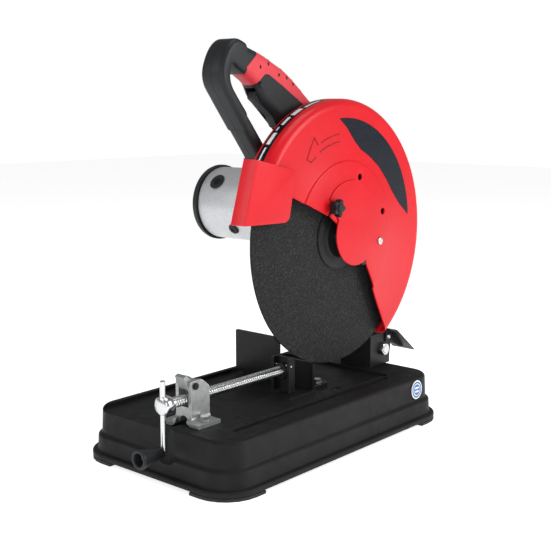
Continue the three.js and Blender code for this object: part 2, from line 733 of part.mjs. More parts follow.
function buildArmature() {
  const { y, z } = motor;
  const profile = [[0, -131.5], [4, -131.5], [4, -120], [6, -120], [6, -107], [14, -107], [14, -92],
    [6, -92], [6, -86], [24, -84], [31, -82], [31, -46], [24, -44], [6, -42], [6, -5], [6, 1], [0, 1]];
  return turned('x', profile, y, z, 20).add(gearWheel(gear.pinionTeeth, motor, 0, 15, 0.5));
}

// Spur gear with straight-sided teeth. It has a tooth on the line between the two shafts,
// or with `shift` 0.5 a gap between teeth there, so that the pair meshes.
function gearWheel(teeth, at, from, to, shift = 0) {
  const pitchRadius = (gear.module * teeth) / 2;
  const facing = at === motor ? spindle : motor;
  const line = Math.atan2(facing.z - at.z, facing.y - at.y);
  const points = [];
  const marks = [[-0.30, -1.2], [-0.13, 0.8], [0.13, 0.8], [0.30, -1.2]];
  for (let tooth = 0; tooth < teeth; tooth += 1) {
    for (const [across, height] of marks) {
      const angle = line + ((tooth + across + shift) * 2 * Math.PI) / teeth;
      const radius = pitchRadius + height * gear.module;
      points.push([at.y + radius * Math.cos(angle), at.z + radius * Math.sin(angle)]);
    }
  }
  return plate(polygon(points), 'x', from, to);
}

function buildFan() {
  const { y, z } = motor;
  const blades = [];
  for (let i = 0; i < 6; i += 1) {
    const blade = block(-37, -30, -1.2, 1.2, 12, 43);
    blades.push(blade.rotate([i * 60, 0, 0]).translate([0, y, z]));
  }
  const hub = bar('x', 14, -37.5, -28, y, z, 12);
  const backPlate = bar('x', 43, -30.5, -28.5, y, z, 20);
  return cut(union([hub, backPlate, ...blades]), [bar('x', 6 + gap, -40, -20, y, z, 20)]);
}

// ---------------------------------------------------------------- spindle, disc and flanges
function buildSpindle() {
  const { y, z } = spindle;
  const profile = [[0, -11.5], [6, -11.5], [6, 0], [9, 0], [9, 22], [10, 22], [10, 39], [12, 39],
    [12, 62], [0, 62]];
  return turned('x', profile, y, z, 20).subtract(bar('x', 4.3, 40, 63, y, z, 12));
}

function buildSpindleGear() {
  const wheel = gearWheel(gear.teeth, spindle, gear.left, gear.right);
  return wheel.subtract(bar('x', 9 + gap, 0, 20, spindle.y, spindle.z, 24));
}

function buildInnerFlange() {
  const { y, z } = spindle;
  return turned('x', [[12 + gap, 46.5], [20, 46.5], [22, 52], [45, 55], [45, disc.left - gap],
    [12 + gap, disc.left - gap], [12 + gap, 46.5]], y, z, 28);
}

function buildDisc() {
  const { y, z } = spindle;
  return turned('x', [[disc.bore, disc.left], [disc.radius, disc.left], [disc.radius, disc.right],
    [disc.bore, disc.right], [disc.bore, disc.left]], y, z, 60);
}

function buildOuterFlange() {
  const { y, z } = spindle;
  const face = disc.right + gap;
  return turned('x', [[4.6, face + 0.6], [20, face + 0.6], [20, face], [45, face], [45, face + 2.4],
    [31, face + 3.6], [30, face + 5.6], [4.6, face + 5.6], [4.6, face + 0.6]], y, z, 28);
}

function buildSpindleBolt() {
  const { y, z } = spindle;
  const face = disc.right + 6.2;
  return union([
    bar('x', 4, 44, face + 0.2, y, z, 20),
    bar('x', 10, face, face + 1.6, y, z, 24),
    hexagon('x', 14, face + 1.5, face + 5, y, z),
  ]);
}

// Spindle lock: a sprung button on top of the gear case.
function buildLockButton() {
  return union([
    bar('z', 4, 366.5, 376, lockX, motor.y, 12),
    bar('z', 6.5, 375.6, 381, lockX, motor.y, 16, 6),
  ]);
}

// ---------------------------------------------------------------- handle
function handleOutline() {
  return roundedOutline([
    [-24, 338, 9], [-62, 396, 20], [-122, 473, 9], [-135, 492, 8], [-136, 510, 8],
    [-122, 536, 11], [-106, 548, 8], [-79, 537.5, 10], [-52, 529, 10], [-5, 507, 15], [30, 482, 20],
    [66, 452, 25], [84, 400, 20], [80, 350, 9], [30, 340, 9],
  ]);
}

function handleOpening() {
  return roundedOutline([
    [-116, 520, 4], [-117, 500, 8], [-108, 480, 8], [-57, 420, 12],
    [-30, 390, 12], [8, 392, 9], [14, 412, 9], [-18, 438, 6], [-62, 476, 6], [-66, 490, 6],
    [-100, 507, 8],
  ]);
}

function gripRegion(grow) {
  return polygon([
    [-103 - grow, 498 - grow], [-64 - grow, 533], [-60 - grow, 560], [70, 560], [70, 447 - grow],
    [40, 455 - grow], [14, 473 - grow], [-46, 507 - grow], [-58, 505 - grow], [-70, 488 - grow],
  ]);
}

function handleBody() {
  const outer = plate(handleOutline(), 'x', handle.left, handle.right, 4.5, 1, 2);
  const whole = outer.subtract(plate(handleOpening(), 'x', handle.left - 1, handle.right + 1, 0, 1, 2));
  const gripSides = [
    block(handle.left - 1, handle.left + handle.gripInset, -90, 90, 400, 560),
    block(handle.right - handle.gripInset, handle.right + 1, -90, 90, 400, 560),
  ];
  return cut(whole, gripSides);
}

// The narrower core that the soft cover is moulded round, less `shrink` all round.
function gripCore(shrink) {
  const outline = roundedOutline([
    [-110, 537, 6], [-80, 531, 6], [-54, 522.5, 6], [-8, 501, 10], [27, 476.5, 10], [60, 449, 6],
    [56, 430, 6], [20, 432, 6], [-14, 446, 6], [-55, 483, 5], [-62, 497, 5], [-98, 513, 5],
  ]);
  const inset = handle.gripInset + 4 + shrink;
  const geometry = new THREE.ExtrudeGeometry(outline, {
    depth: handle.right - handle.left - 2 * inset, curveSegments: 2, bevelEnabled: true,
    bevelThickness: 0.1, bevelSize: 0, bevelOffset: -shrink, bevelSegments: 1,
  });
  geometry.translate(0, 0, handle.left + inset);
  return solid(orient(geometry, 'x'));
}

function buildGripCover() {
  const region = plate(gripRegion(0), 'x', handle.left - 2, handle.right + 2);
  return handleBody().intersect(region).subtract(gripCore(0));
}

function triggerRoom() {
  return polygon([[-70, 470], [-62, 498], [-10, 466], [2, 442], [-8, 425], [-40, 425]]);
}

function buildHandleHalves() {
  const region = plate(gripRegion(gap), 'x', handle.left - 2, handle.right + 2);
  const core = gripCore(gap);
  const shell = handleBody().subtract(region).add(core.intersect(
    plate(gripRegion(3), 'x', handle.left, handle.right)));
  const { seam } = handle;
  const rooms = [
    headCasing(gap),
    plate(triggerRoom(), 'x', 8.5, 25.5),
    block(8.5, 25.5, 18, 52, 424, 454),
    bar('x', 4.3, 17, handle.right + 2, lockOff.y, lockOff.z, 20),
    bar('z', 7.2, 340, 400, lockX, motor.y, 20),
    bar('x', triggerPivot.radius + gap, 5.7, 28.3, triggerPivot.y, triggerPivot.z, 12),
  ];
  const whole = cut(shell, rooms);
  return {
    left: whole.intersect(block(handle.left - 5, seam - gap / 2, -200, 200, 300, 600)),
    right: whole.intersect(block(seam + gap / 2, handle.right + 5, -200, 200, 300, 600)),
  };
}

// Long finger lever under the grip, hinged at its lower rear end.
function buildTrigger() {
  const side = roundedOutline([
    [-63, 473, 3], [-59, 482.5, 2], [-16, 452, 4], [-6, 445, 3], [-8, 434, 3], [-18, 434, 4],
    [-27, 449, 6],
  ]);
  return plate(side, 'x', 9.2, 24.8, 0.6, 1, 3).subtract(
    bar('x', triggerPivot.radius + runFit, 8, 26, triggerPivot.y, triggerPivot.z, 14));
}

function buildLockOffButton() {
  return union([
    bar('x', 4, 27, 36, lockOff.y, lockOff.z, 20, 3.6),
    bar('x', 2.5, 24, 28, lockOff.y, lockOff.z, 16),
  ]);
}

// ---------------------------------------------------------------- assembly
function buildSaw() {
  addPiece('base', buildBase(), blackPaint);
  addPiece('foot_front_left', buildFoot(-1, -1), rubber);
  addPiece('foot_front_right', buildFoot(1, -1), rubber);
  addPiece('foot_rear_left', buildFoot(-1, 1), rubber);
  addPiece('foot_rear_right', buildFoot(1, 1), rubber);
  addPiece('side_badge', buildBadge(), badgeBlue);
  addPiece('hinge_bracket', buildHingeBracket(), blackPaint);
  addPiece('pivot_bolt', buildPivotBolt(), chrome);
  addPiece('pivot_nut', buildPivotNut(), chrome);
  addPiece('return_spring', buildReturnSpring(), greySteel);
  addPiece('depth_stop', buildDepthStop(), chrome);
  addPiece('rear_deflector', buildRearDeflector(), blackPaint);
  addPiece('deflector_rivet', buildDeflectorRivet(), greySteel);
  addPiece('fence', buildFence(), blackPaint);
  const fenceTop = trough.floor + gap + fence.wall;
  addPiece('fence_bolt_left', tableBolt(fenceBolts[0], fenceTop), chrome);
  addPiece('fence_bolt_right', tableBolt(fenceBolts[1], fenceTop), chrome);
  addPiece('vise_bracket', buildViseBracket(), greySteel);
  addPiece('vise_bolt_left', tableBolt(viseBolts[0], trough.floor + gap + 5), chrome);
  addPiece('vise_bolt_right', tableBolt(viseBolts[1], base.top + gap + 5), chrome);
  addPiece('half_nut', buildHalfNut(), greySteel);
  addPiece('half_nut_pin', buildNutPin(), blackPaint);
  addPiece('vise_screw', buildViseScrew(), chrome);
  addPiece('crank_rod', buildCrankRod(), chrome);
  addPiece('crank_grip', buildCrankGrip(), blackPlastic);
  addPiece('jaw', buildJaw(), blackPaint);
  const jawPin = bar('x', 1.5, jaw.left - 0.6, jaw.right + 0.6, jaw.pinY, jaw.pinZ, 12);
  addPiece('jaw_pin', jawPin, greySteel);

  addPiece('gear_housing', buildGearHousing(), blackPaint);
  addPiece('guard', buildGuard(), redPaint);
  addPiece('cover_plate', buildCoverPlate(), redPaint);
  addPiece('cover_screw', buildCoverScrew(), chrome);
  addPiece('wing_knob', buildWingKnob(), blackPlastic);
  addPiece('front_deflector', buildFrontDeflector(), redPaint);
  addPiece('deflector_screw', buildDeflectorScrew(), greySteel);

  addPiece('motor_housing', buildMotorHousing(), silver);
  addPiece('motor_cap', buildMotorCap(), blackPlastic);
  addPiece('brush_cap_upper', buildBrushCap(brush.upper), blackPlastic);
  addPiece('brush_cap_lower', buildBrushCap(brush.lower), blackPlastic);
  addPiece('cord_gland', buildCordGland(), rubber);
  addPiece('stator', ring('x', 47.5, 33, -84, -44, motor.y, motor.z), copper);
  addPiece('armature', buildArmature(), greySteel);
  addPiece('fan', buildFan(), blackPlastic);
  addPiece('bearing_motor_rear', ring('x', 11, 4.3, -130.8, -123, motor.y, motor.z), greySteel);
  addPiece('bearing_motor_front', ring('x', 14, 6.3, -16, -6, motor.y, motor.z), greySteel);

  addPiece('spindle', buildSpindle(), greySteel);
  addPiece('spindle_gear', buildSpindleGear(), greySteel);
  addPiece('bearing_spindle_inner', ring('x', 15, 6.3, -11, -2, spindle.y, spindle.z), greySteel);
  addPiece('bearing_spindle_outer', ring('x', 21, 10.3, 24, 36, spindle.y, spindle.z), greySteel);
  addPiece('inner_flange', buildInnerFlange(), greySteel);
  addPiece('disc', buildDisc(), abrasive);
  addPiece('outer_flange', buildOuterFlange(), blackPaint);
  addPiece('spindle_bolt', buildSpindleBolt(), greySteel);
  addPiece('lock_button', buildLockButton(), blackPlastic);

  const halves = buildHandleHalves();
  addPiece('handle_left', halves.left, blackPlastic);
  addPiece('handle_right', halves.right, blackPlastic);
  addPiece('grip_cover', buildGripCover(), redRubber);
  addPiece('trigger', buildTrigger(), blackPlastic);
  const triggerPin = bar('x', triggerPivot.radius, 6, 28, triggerPivot.y, triggerPivot.z, 14);
  addPiece('trigger_pin', triggerPin, greySteel);
  addPiece('lock_off_button', buildLockOffButton(), blackPlastic);
  addPiece('switch_body', block(9.2, 24.8, 20, 50, 426, 452), blackPlastic);
}

// Centres the bounding box over the origin, with the feet at z = 0.
function centre() {
  const box = new THREE.Box3().setFromObject(saw);
  const middle = box.getCenter(new THREE.Vector3());
  for (const mesh of saw.children) {
    mesh.geometry.translate(-middle.x, -middle.y, -box.min.z);
  }
}

buildSaw();
centre();

export default saw;
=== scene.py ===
"""Looks of the abrasive chop saw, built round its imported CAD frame.

Lengths in the helpers are millimetres, measured from the middle of the base's footprint;
place() turns them into metres in the frame.
"""

import math

import bmesh
import bpy
from mathutils import Matrix, Vector
from mathutils.bvhtree import BVHTree


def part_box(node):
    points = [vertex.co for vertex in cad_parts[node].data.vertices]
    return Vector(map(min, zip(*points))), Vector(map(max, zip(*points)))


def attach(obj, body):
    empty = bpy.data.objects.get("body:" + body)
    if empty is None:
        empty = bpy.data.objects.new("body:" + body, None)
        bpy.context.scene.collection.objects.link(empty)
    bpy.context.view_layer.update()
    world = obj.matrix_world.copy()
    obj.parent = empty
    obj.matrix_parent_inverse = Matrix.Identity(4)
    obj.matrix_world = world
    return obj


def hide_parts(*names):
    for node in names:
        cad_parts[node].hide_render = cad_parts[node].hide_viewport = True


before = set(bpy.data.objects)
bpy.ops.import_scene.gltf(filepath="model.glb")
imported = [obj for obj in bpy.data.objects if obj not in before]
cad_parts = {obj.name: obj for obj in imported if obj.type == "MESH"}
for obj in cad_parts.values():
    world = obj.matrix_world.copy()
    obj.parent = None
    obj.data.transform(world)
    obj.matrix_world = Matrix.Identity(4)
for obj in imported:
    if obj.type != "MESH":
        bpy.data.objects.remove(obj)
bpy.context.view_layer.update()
MM = 0.001

base_low, base_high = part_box("base")
ORIGIN = Vector(((base_low[0] + base_high[0]) / 2, (base_low[1] + base_high[1]) / 2, 0.0))

# ------------------------------------------------------------------ driving dimensions (mm)
SPINDLE = (66.0, 284.0)
GUARD = (66.0, 285.0)
MOTOR = (33.0, 322.6)
SCREW_X, SCREW_Z = 24.0, 100.5
GUARD_RADIUS, GUARD_LEFT, GUARD_RIGHT = 188.0, 42.0, 76.0
RAISED_RADIUS, RAISED_FACE = 104.5, 78.5
HANDLE_LEFT, HANDLE_RIGHT, SEAM = -2.0, 36.0, 17.0
TABLE_TOP, TROUGH_FLOOR = 69.5, 64.5
GROOVE = (92.4, -14.5)
COVE_Y = -247.0
BADGE = (175.5, 52.0)
PIVOT = (209.0, 94.0)
DISC_RADIUS, DISC_BORE, DISC_LEFT, DISC_RIGHT = 177.5, 12.7, 58.5, 61.5
FLANGE_FACE = 61.8
COVER_LEFT, COVER_RIGHT = 78.9, 80.8
KNOB = (31.0, 328.0)
KNOB_SEAT = 81.1
DEFLECTOR_TOP, DEFLECTOR_BOTTOM = (-119.0, 398.0), (-143.5, 318.0)
BRUSH_X = -99.6
NUT_PIN = (-190.0, 119.0)
CRANK_Y, CRANK_Z = -232.0, 42.0
BOLT_ACROSS = 11.0

CAMERA_PLACE, CAMERA_AIM, LENS = (909.7, -1035.7, 464.5), (9.45, -5.43, 232.15), 65.63
LAMP_AIM = (0.0, 0.0, 0.25)
LAMPS = (
    # name, place and size in metres, power in watts
    ("key_right", (1.9, 1.0, 1.1), (0.9, 1.3), 28),
    ("fill_left", (-1.1, -1.9, 1.2), (0.9, 1.2), 11),
    ("front", (1.3, -2.1, 0.9), (0.9, 1.1), 15),
    ("top", (0.3, 0.2, 2.4), (1.2, 1.2), 13),
)


def place(x, y, z):
    return ORIGIN + Vector((x, y, z)) * MM


# ------------------------------------------------------------------ mesh helpers
def new_object(name, mesh):
    obj = bpy.data.objects.new(name, mesh)
    bpy.context.scene.collection.objects.link(obj)
    return obj


def mesh_from(name, verts, faces):
    """A mesh object with doubled points merged and its faces turned outward."""
    mesh = bpy.data.meshes.new(name)
    mesh.from_pydata([tuple(v) for v in verts], [], faces)
    bm = bmesh.new()
    bm.from_mesh(mesh)
    bmesh.ops.remove_doubles(bm, verts=bm.verts, dist=1e-6)
    bmesh.ops.recalc_face_normals(bm, faces=bm.faces)
    bm.to_mesh(mesh)
    bm.free()
    return new_object(name, mesh)


def smooth(obj, angle):
    obj.data.polygons.foreach_set("use_smooth", [True] * len(obj.data.polygons))
    obj.data.set_sharp_from_angle(angle=math.radians(angle))
    obj.data.update()


def soften(obj, width, segments, angle=32.0):
    """A fine rounded edge, which catches the light as a real edge does."""
    smooth(obj, angle)
    bevel = obj.modifiers.new("edges", "BEVEL")
    bevel.width = width * MM
    bevel.segments = segments
    bevel.limit_method = "ANGLE"
    bevel.angle_limit = math.radians(angle)
    bevel.harden_normals = True


def baked(obj):
    """Applies the object's modifiers to its mesh."""
    bpy.context.view_layer.update()
    depsgraph = bpy.context.evaluated_depsgraph_get()
    mesh = bpy.data.meshes.new_from_object(obj.evaluated_get(depsgraph))
    old = obj.data
    obj.modifiers.clear()
    obj.data = mesh
    mesh.name = obj.name
    bpy.data.meshes.remove(old)


def combine(obj, tool, operation):
    """Boolean of obj with tool, which is used up."""
    step = obj.modifiers.new("cut", "BOOLEAN")
    step.operation = operation
    step.solver = "EXACT"
    step.object = tool
    baked(obj)
    bpy.data.objects.remove(tool)
    return obj


def subtract(obj, *tools):
    for tool in tools:
        combine(obj, tool, "DIFFERENCE")


def intersect(obj, tool):
    return combine(obj, tool, "INTERSECT")


def join(name, objects):
    """Several objects as one mesh."""
    bm = bmesh.new()
    for obj in objects:
        bm.from_mesh(obj.data)
    mesh = bpy.data.meshes.new(name)
    bm.to_mesh(mesh)
    bm.free()
    for obj in objects:
        bpy.data.objects.remove(obj)
    return new_object(name, mesh)


def axis_point(axis, along, a, b):
    if axis == "x":
        return place(along, a, b)
    if axis == "y":
        return place(a, along, b)
    return place(a, b, along)


def turned(name, axis, profile, a, b, sides=96, sweep=360.0, start=0.0):
    """A turned piece round an axis; profile points are (radius, position along the axis)."""
    verts, faces = [], []
    whole = sweep >= 360.0
    rings = sides if whole else sides + 1
    for i in range(rings):
        angle = math.radians(start + sweep * i / sides)
        for radius, along in profile:
            across, up = radius * math.cos(angle), radius * math.sin(angle)
            verts.append(axis_point(axis, along, a + across, b + up))
    count = len(profile)
    for i in range(sides):
        j = (i + 1) % rings
        for k in range(count - 1):
            this, following = i * count + k, j * count + k
            faces.append((this, following, following + 1, this + 1))
    return mesh_from(name, verts, faces)


def arc(cx, cy, radius, start, end, steps):
    """Points on an arc, angles in degrees."""
    points = []
    for i in range(steps + 1):
        angle = math.radians(start + (end - start) * i / steps)
        points.append((cx + radius * math.cos(angle), cy + radius * math.sin(angle)))
    return points


def rounded(corners, steps=8):
    """A closed outline whose corners are rounded by the distance given with each point."""
    points = []
    count = len(corners)
    for i, (u, v, size) in enumerate(corners):
        here = Vector((u, v))
        before = Vector(corners[i - 1][:2])
        after = Vector(corners[(i + 1) % count][:2])
        if size <= 0:
            points.append((u, v))
            continue
        start = here + (before - here).normalized() * size
        end = here + (after - here).normalized() * size
        for k in range(steps + 1):
            t = k / steps
            point = start * (1 - t) ** 2 + here * 2 * t * (1 - t) + end * t ** 2
            points.append((point.x, point.y))
    return points


def rounded_rect(half_u, half_v, corner, u=0.0, v=0.0, steps=12):
    points = []
    for quarter, (su, sv) in enumerate(((1, -1), (1, 1), (-1, 1), (-1, -1))):
        cu = u + su * (half_u - corner)
        cv = v + sv * (half_v - corner)
        points += arc(cu, cv, corner, 90 * (quarter - 1), 90 * quarter, steps)
    return points


def plate(name, axis, outline, low, high, edge=0.0):
    """A plate of the given outline across an axis, its edges rounded by `edge`."""
    curve = bpy.data.curves.new(name, "CURVE")
    curve.dimensions = "2D"
    curve.fill_mode = "BOTH"
    curve.extrude = (high - low) / 2 - edge
    curve.bevel_depth = edge
    curve.bevel_resolution = 3
    curve.offset = -edge
    spline = curve.splines.new("POLY")
    spline.points.add(len(outline) - 1)
    for point, (u, v) in zip(spline.points, outline):
        point.co = (u, v, 0.0, 1.0)
    spline.use_cyclic_u = True
    source = bpy.data.objects.new(name, curve)
    bpy.context.scene.collection.objects.link(source)
    bpy.context.view_layer.update()
    depsgraph = bpy.context.evaluated_depsgraph_get()
    mesh = bpy.data.meshes.new_from_object(source.evaluated_get(depsgraph))
    bpy.data.objects.remove(source)
    bpy.data.curves.remove(curve)
    middle = (low + high) / 2
    for vert in mesh.vertices:
        u, v, w = vert.co
        vert.co = axis_point(axis, middle + w, u, v)
    bm = bmesh.new()
    bm.from_mesh(mesh)
    bmesh.ops.remove_doubles(bm, verts=bm.verts, dist=2e-6)
    bmesh.ops.recalc_face_normals(bm, faces=bm.faces)
    bm.to_mesh(mesh)
    bm.free()
    return new_object(name, mesh)


def rod(name, axis, radius, low, high, a, b, sides=48, edge=0.3):
    """A round bar with a small chamfer at both ends."""
    profile = [(0, low), (radius - edge, low), (radius, low + edge), (radius, high - edge),
               (radius - edge, high), (0, high)]
    return turned(name, axis, profile, a, b, sides)


def hex_bolt(name, axis, across, low, high, a, b):
    """A hexagonal head with its corners turned off at the high end."""
    radius = across / math.sqrt(3)
    head = turned(name, axis, [(0, low), (radius, low), (radius, high), (0, high)], a, b, 6)
    cone = [(0, low - 1), (radius + 0.2, low - 1), (radius + 0.2, high - 1.1),
            (radius * 0.86, high), (0, high)]
    return intersect(head, turned(name + "_trim", axis, cone, a, b, 48))


def block(name, x0, x1, y0, y1, z0, z1):
    """A plain box, for cutting."""
    verts = [place(x, y, z) for x in (x0, x1) for y in (y0, y1) for z in (z0, z1)]
    faces = [(0, 1, 3, 2), (4, 6, 7, 5), (0, 4, 5, 1), (2, 3, 7, 6), (0, 2, 6, 4), (1, 5, 7, 3)]
    return mesh_from(name, verts, faces)


# ------------------------------------------------------------------ material helpers
class Shader:
    """A material's nodes, with short calls for the ones used here."""

    def __init__(self, name):
        self.material = bpy.data.materials.new(name)
        self.material.use_nodes = True
        self.nodes = self.material.node_tree.nodes
        self.links = self.material.node_tree.links
        self.nodes.clear()
        self.out = self.nodes.new("ShaderNodeOutputMaterial")
        self.surface = self.nodes.new("ShaderNodeBsdfPrincipled")
        self.links.new(self.surface.outputs[0], self.out.inputs[0])
        self.where = self.nodes.new("ShaderNodeTexCoord").outputs["Object"]

    def set(self, **values):
        for key, value in values.items():
            socket = self.surface.inputs[key.replace("_", " ")]
            if hasattr(value, "is_linked"):
                self.links.new(value, socket)
            elif isinstance(value, tuple):
                socket.default_value = (*value, 1.0)
            else:
                socket.default_value = value

    def noise(self, scale, detail=3.0, rough=0.55, at=None):
        node = self.nodes.new("ShaderNodeTexNoise")
        node.inputs["Scale"].default_value = scale
        node.inputs["Detail"].default_value = detail
        node.inputs["Roughness"].default_value = rough
        self.links.new(at or self.where, node.inputs["Vector"])
        return node.outputs[0]

    def cells(self, scale, output="Distance"):
        node = self.nodes.new("ShaderNodeTexVoronoi")
        node.inputs["Scale"].default_value = scale
        self.links.new(self.where, node.inputs["Vector"])
        return node.outputs[output]

    def stretch(self, x, y, z):
        node = self.nodes.new("ShaderNodeMapping")
        node.inputs["Scale"].default_value = (x, y, z)
        self.links.new(self.where, node.inputs["Vector"])
        return node.outputs[0]

    def ramp(self, value, *stops):
        """stops are (position, colour or grey)."""
        node = self.nodes.new("ShaderNodeValToRGB")
        elements = node.color_ramp.elements
        while len(elements) < len(stops):
            elements.new(0.5)
        for element, (position, colour) in zip(elements, stops):
            element.position = position
            grey = isinstance(colour, (int, float))
            element.color = (colour, colour, colour, 1) if grey else (*colour, 1)
        self.links.new(value, node.inputs[0])
        return node.outputs[0]

    def painted_edge_highlight(self, radius, strength):
        """Painted highlight: bright along sharp edges, from the difference of the bevelled and the
        plain normal.
        """
        bevel = self.nodes.new("ShaderNodeBevel")
        bevel.inputs["Radius"].default_value = radius
        geometry = self.nodes.new("ShaderNodeNewGeometry")
        dot = self.nodes.new("ShaderNodeVectorMath")
        dot.operation = "DOT_PRODUCT"
        self.links.new(bevel.outputs[0], dot.inputs[0])
        self.links.new(geometry.outputs["Normal"], dot.inputs[1])
        return self.ramp(dot.outputs["Value"], (0.80, strength), (0.985, 0.0))

    def mix(self, amount, first, second):
        node = self.nodes.new("ShaderNodeMix")
        node.data_type = "RGBA"
        self.links.new(amount, node.inputs[0])
        for socket, value in ((node.inputs[6], first), (node.inputs[7], second)):
            if hasattr(value, "is_linked"):
                self.links.new(value, socket)
            else:
                socket.default_value = (*value, 1.0)
        return node.outputs[2]

    def bump(self, height, strength, distance=0.0004, below=None):
        node = self.nodes.new("ShaderNodeBump")
        node.inputs["Strength"].default_value = strength
        node.inputs["Distance"].default_value = distance
        self.links.new(height, node.inputs["Height"])
        if below is not None:
            self.links.new(below, node.inputs["Normal"])
        self.links.new(node.outputs[0], self.surface.inputs["Normal"])
        return node.outputs[0]


def make_textured_black():
    """Powder coat with a fine wrinkle, greyer along sharp edges as a painted highlight."""
    s = Shader("textured_black")
    tone = s.ramp(s.noise(14, 4), (0.3, (0.0075, 0.0077, 0.0082)), (0.7, (0.0125, 0.0128, 0.0135)))
    # the sharp edges are painted greyer: a painted highlight
    with_edge_highlight = s.mix(s.painted_edge_highlight(0.0012, 0.35), tone, (0.055, 0.057, 0.06))
    s.set(Base_Color=with_edge_highlight, Roughness=s.ramp(s.noise(60, 4), (0.3, 0.46), (0.7, 0.60)),
          Specular_IOR_Level=0.16)
    fine = s.bump(s.cells(620), 0.30, 0.00025)
    s.bump(s.noise(260, 4), 0.22, 0.0003, below=fine)
    return s.material


def make_smooth_black():
    """Black enamel on bent steel plate."""
    s = Shader("smooth_black")
    tone = s.ramp(s.noise(25, 3), (0.3, (0.007, 0.007, 0.0075)), (0.7, (0.012, 0.012, 0.0125)))
    # the sharp edges are painted grey: a painted highlight
    with_edge_highlight = s.mix(s.painted_edge_highlight(0.0008, 0.5), tone, (0.12, 0.12, 0.12))
    s.set(Base_Color=with_edge_highlight, Roughness=s.ramp(s.noise(90, 3), (0.3, 0.34), (0.7, 0.46)),
          Specular_IOR_Level=0.22)
    s.bump(s.noise(420, 3), 0.15, 0.0002)
    return s.material


def make_red_paint():
    """Glossy red enamel with a faint orange peel."""
    s = Shader("red_paint")
    tone = s.ramp(s.noise(9, 3), (0.3, (0.60, 0.006, 0.013)), (0.7, (0.68, 0.010, 0.019)))
    # the sharp edges are painted a lighter red: a painted highlight
    with_edge_highlight = s.mix(s.painted_edge_highlight(0.0006, 0.35), tone, (0.85, 0.12, 0.12))
    s.set(Base_Color=with_edge_highlight, Roughness=s.ramp(s.noise(120, 3), (0.3, 0.30), (0.7, 0.37)),
          Specular_IOR_Level=0.22, Coat_Weight=0.06, Coat_Roughness=0.16)
    s.bump(s.noise(330, 2), 0.06, 0.0003)
    return s.material


def make_silver():
    """Silver lacquer on a cast motor shell."""
    s = Shader("silver_lacquer")
    tone = s.ramp(s.cells(1500, "Color"), (0.2, (0.50, 0.51, 0.53)), (0.8, (0.68, 0.69, 0.71)))
    s.set(Base_Color=tone, Metallic=0.65,
          Roughness=s.ramp(s.noise(70, 3), (0.3, 0.38), (0.7, 0.48)))
    s.bump(s.noise(500, 3), 0.12, 0.0002)
    return s.material


def make_abrasive():
    """Bonded grit: dark resin with lighter grains over a faint woven reinforcement."""
    s = Shader("abrasive_grit")
    grains = s.ramp(s.cells(780, "Color"), (0.25, (0.004, 0.004, 0.004)),
                    (0.65, (0.015, 0.015, 0.0155)), (0.95, (0.050, 0.050, 0.052)))
    cloud = s.ramp(s.noise(46, 5, 0.65), (0.35, 0.0), (0.75, 0.5))
    tone = s.mix(cloud, grains, (0.017, 0.017, 0.018))
    s.set(Base_Color=tone, Roughness=s.ramp(s.cells(900), (0.1, 0.60), (0.6, 0.85)),
          Specular_IOR_Level=0.3)
    coarse = s.bump(s.cells(780), 0.5, 0.0005)
    s.bump(s.noise(700, 5, 0.7), 0.4, 0.0004, below=coarse)
    return s.material


def make_chrome():
    """Bright plated steel with fine drawn lines."""
    s = Shader("bright_steel")
    lines = s.noise(900, 2, at=s.stretch(1.0, 0.03, 1.0))
    s.set(Base_Color=s.ramp(lines, (0.3, (0.58, 0.59, 0.60)), (0.7, (0.72, 0.73, 0.74))),
          Metallic=1.0, Roughness=s.ramp(lines, (0.3, 0.17), (0.7, 0.28)))
    s.bump(lines, 0.05, 0.0002)
    return s.material


def make_bolt_steel():
    """Zinc plating: soft bright metal, duller in patches."""
    s = Shader("zinc_plate")
    patch = s.noise(160, 4)
    s.set(Base_Color=s.ramp(patch, (0.3, (0.52, 0.53, 0.54)), (0.7, (0.72, 0.73, 0.73))),
          Metallic=0.95, Roughness=s.ramp(patch, (0.3, 0.22), (0.7, 0.36)))
    s.bump(s.noise(700, 3), 0.10, 0.0002)
    return s.material


def make_cast_grey():
    """Zinc grey casting: matt, pale, slightly rough."""
    s = Shader("cast_grey")
    tone = s.ramp(s.noise(190, 5, 0.7), (0.3, (0.30, 0.31, 0.31)), (0.7, (0.43, 0.44, 0.44)))
    # the sharp edges are painted paler: a painted highlight
    with_edge_highlight = s.mix(s.painted_edge_highlight(0.0009, 0.8), tone, (0.75, 0.76, 0.76))
    s.set(Base_Color=with_edge_highlight, Metallic=0.75,
          Roughness=s.ramp(s.noise(160, 4), (0.3, 0.36), (0.7, 0.50)))
    s.bump(s.noise(420, 5, 0.65), 0.30, 0.0004)
    return s.material


def make_black_plastic():
    """Moulded black nylon with a fine spark-eroded texture."""
    s = Shader("moulded_black")
    tone = s.ramp(s.noise(30, 3), (0.3, (0.009, 0.010, 0.0115)), (0.7, (0.014, 0.0155, 0.0175)))
    s.set(Base_Color=tone, Roughness=s.ramp(s.noise(200, 3), (0.3, 0.40), (0.7, 0.50)),
          Specular_IOR_Level=0.28)
    s.bump(s.cells(1400), 0.16, 0.00015)
    return s.material


def make_rubber():
    """Matt black moulded rubber."""
    s = Shader("foot_rubber")
    tone = s.ramp(s.noise(60, 4), (0.3, (0.008, 0.008, 0.008)), (0.7, (0.016, 0.016, 0.016)))
    s.set(Base_Color=tone, Roughness=s.ramp(s.noise(140, 4), (0.3, 0.70), (0.7, 0.86)))
    s.bump(s.noise(800, 3), 0.25, 0.0002)
    return s.material


def make_red_grip():
    """Soft red overmoulding with a fine grain."""
    s = Shader("red_grip")
    tone = s.ramp(s.noise(40, 3), (0.3, (0.60, 0.014, 0.028)), (0.7, (0.68, 0.02, 0.036)))
    s.set(Base_Color=tone, Roughness=s.ramp(s.noise(150, 3), (0.3, 0.44), (0.7, 0.56)),
          Sheen_Weight=0.15)
    s.bump(s.cells(1100), 0.14, 0.00015)
    return s.material


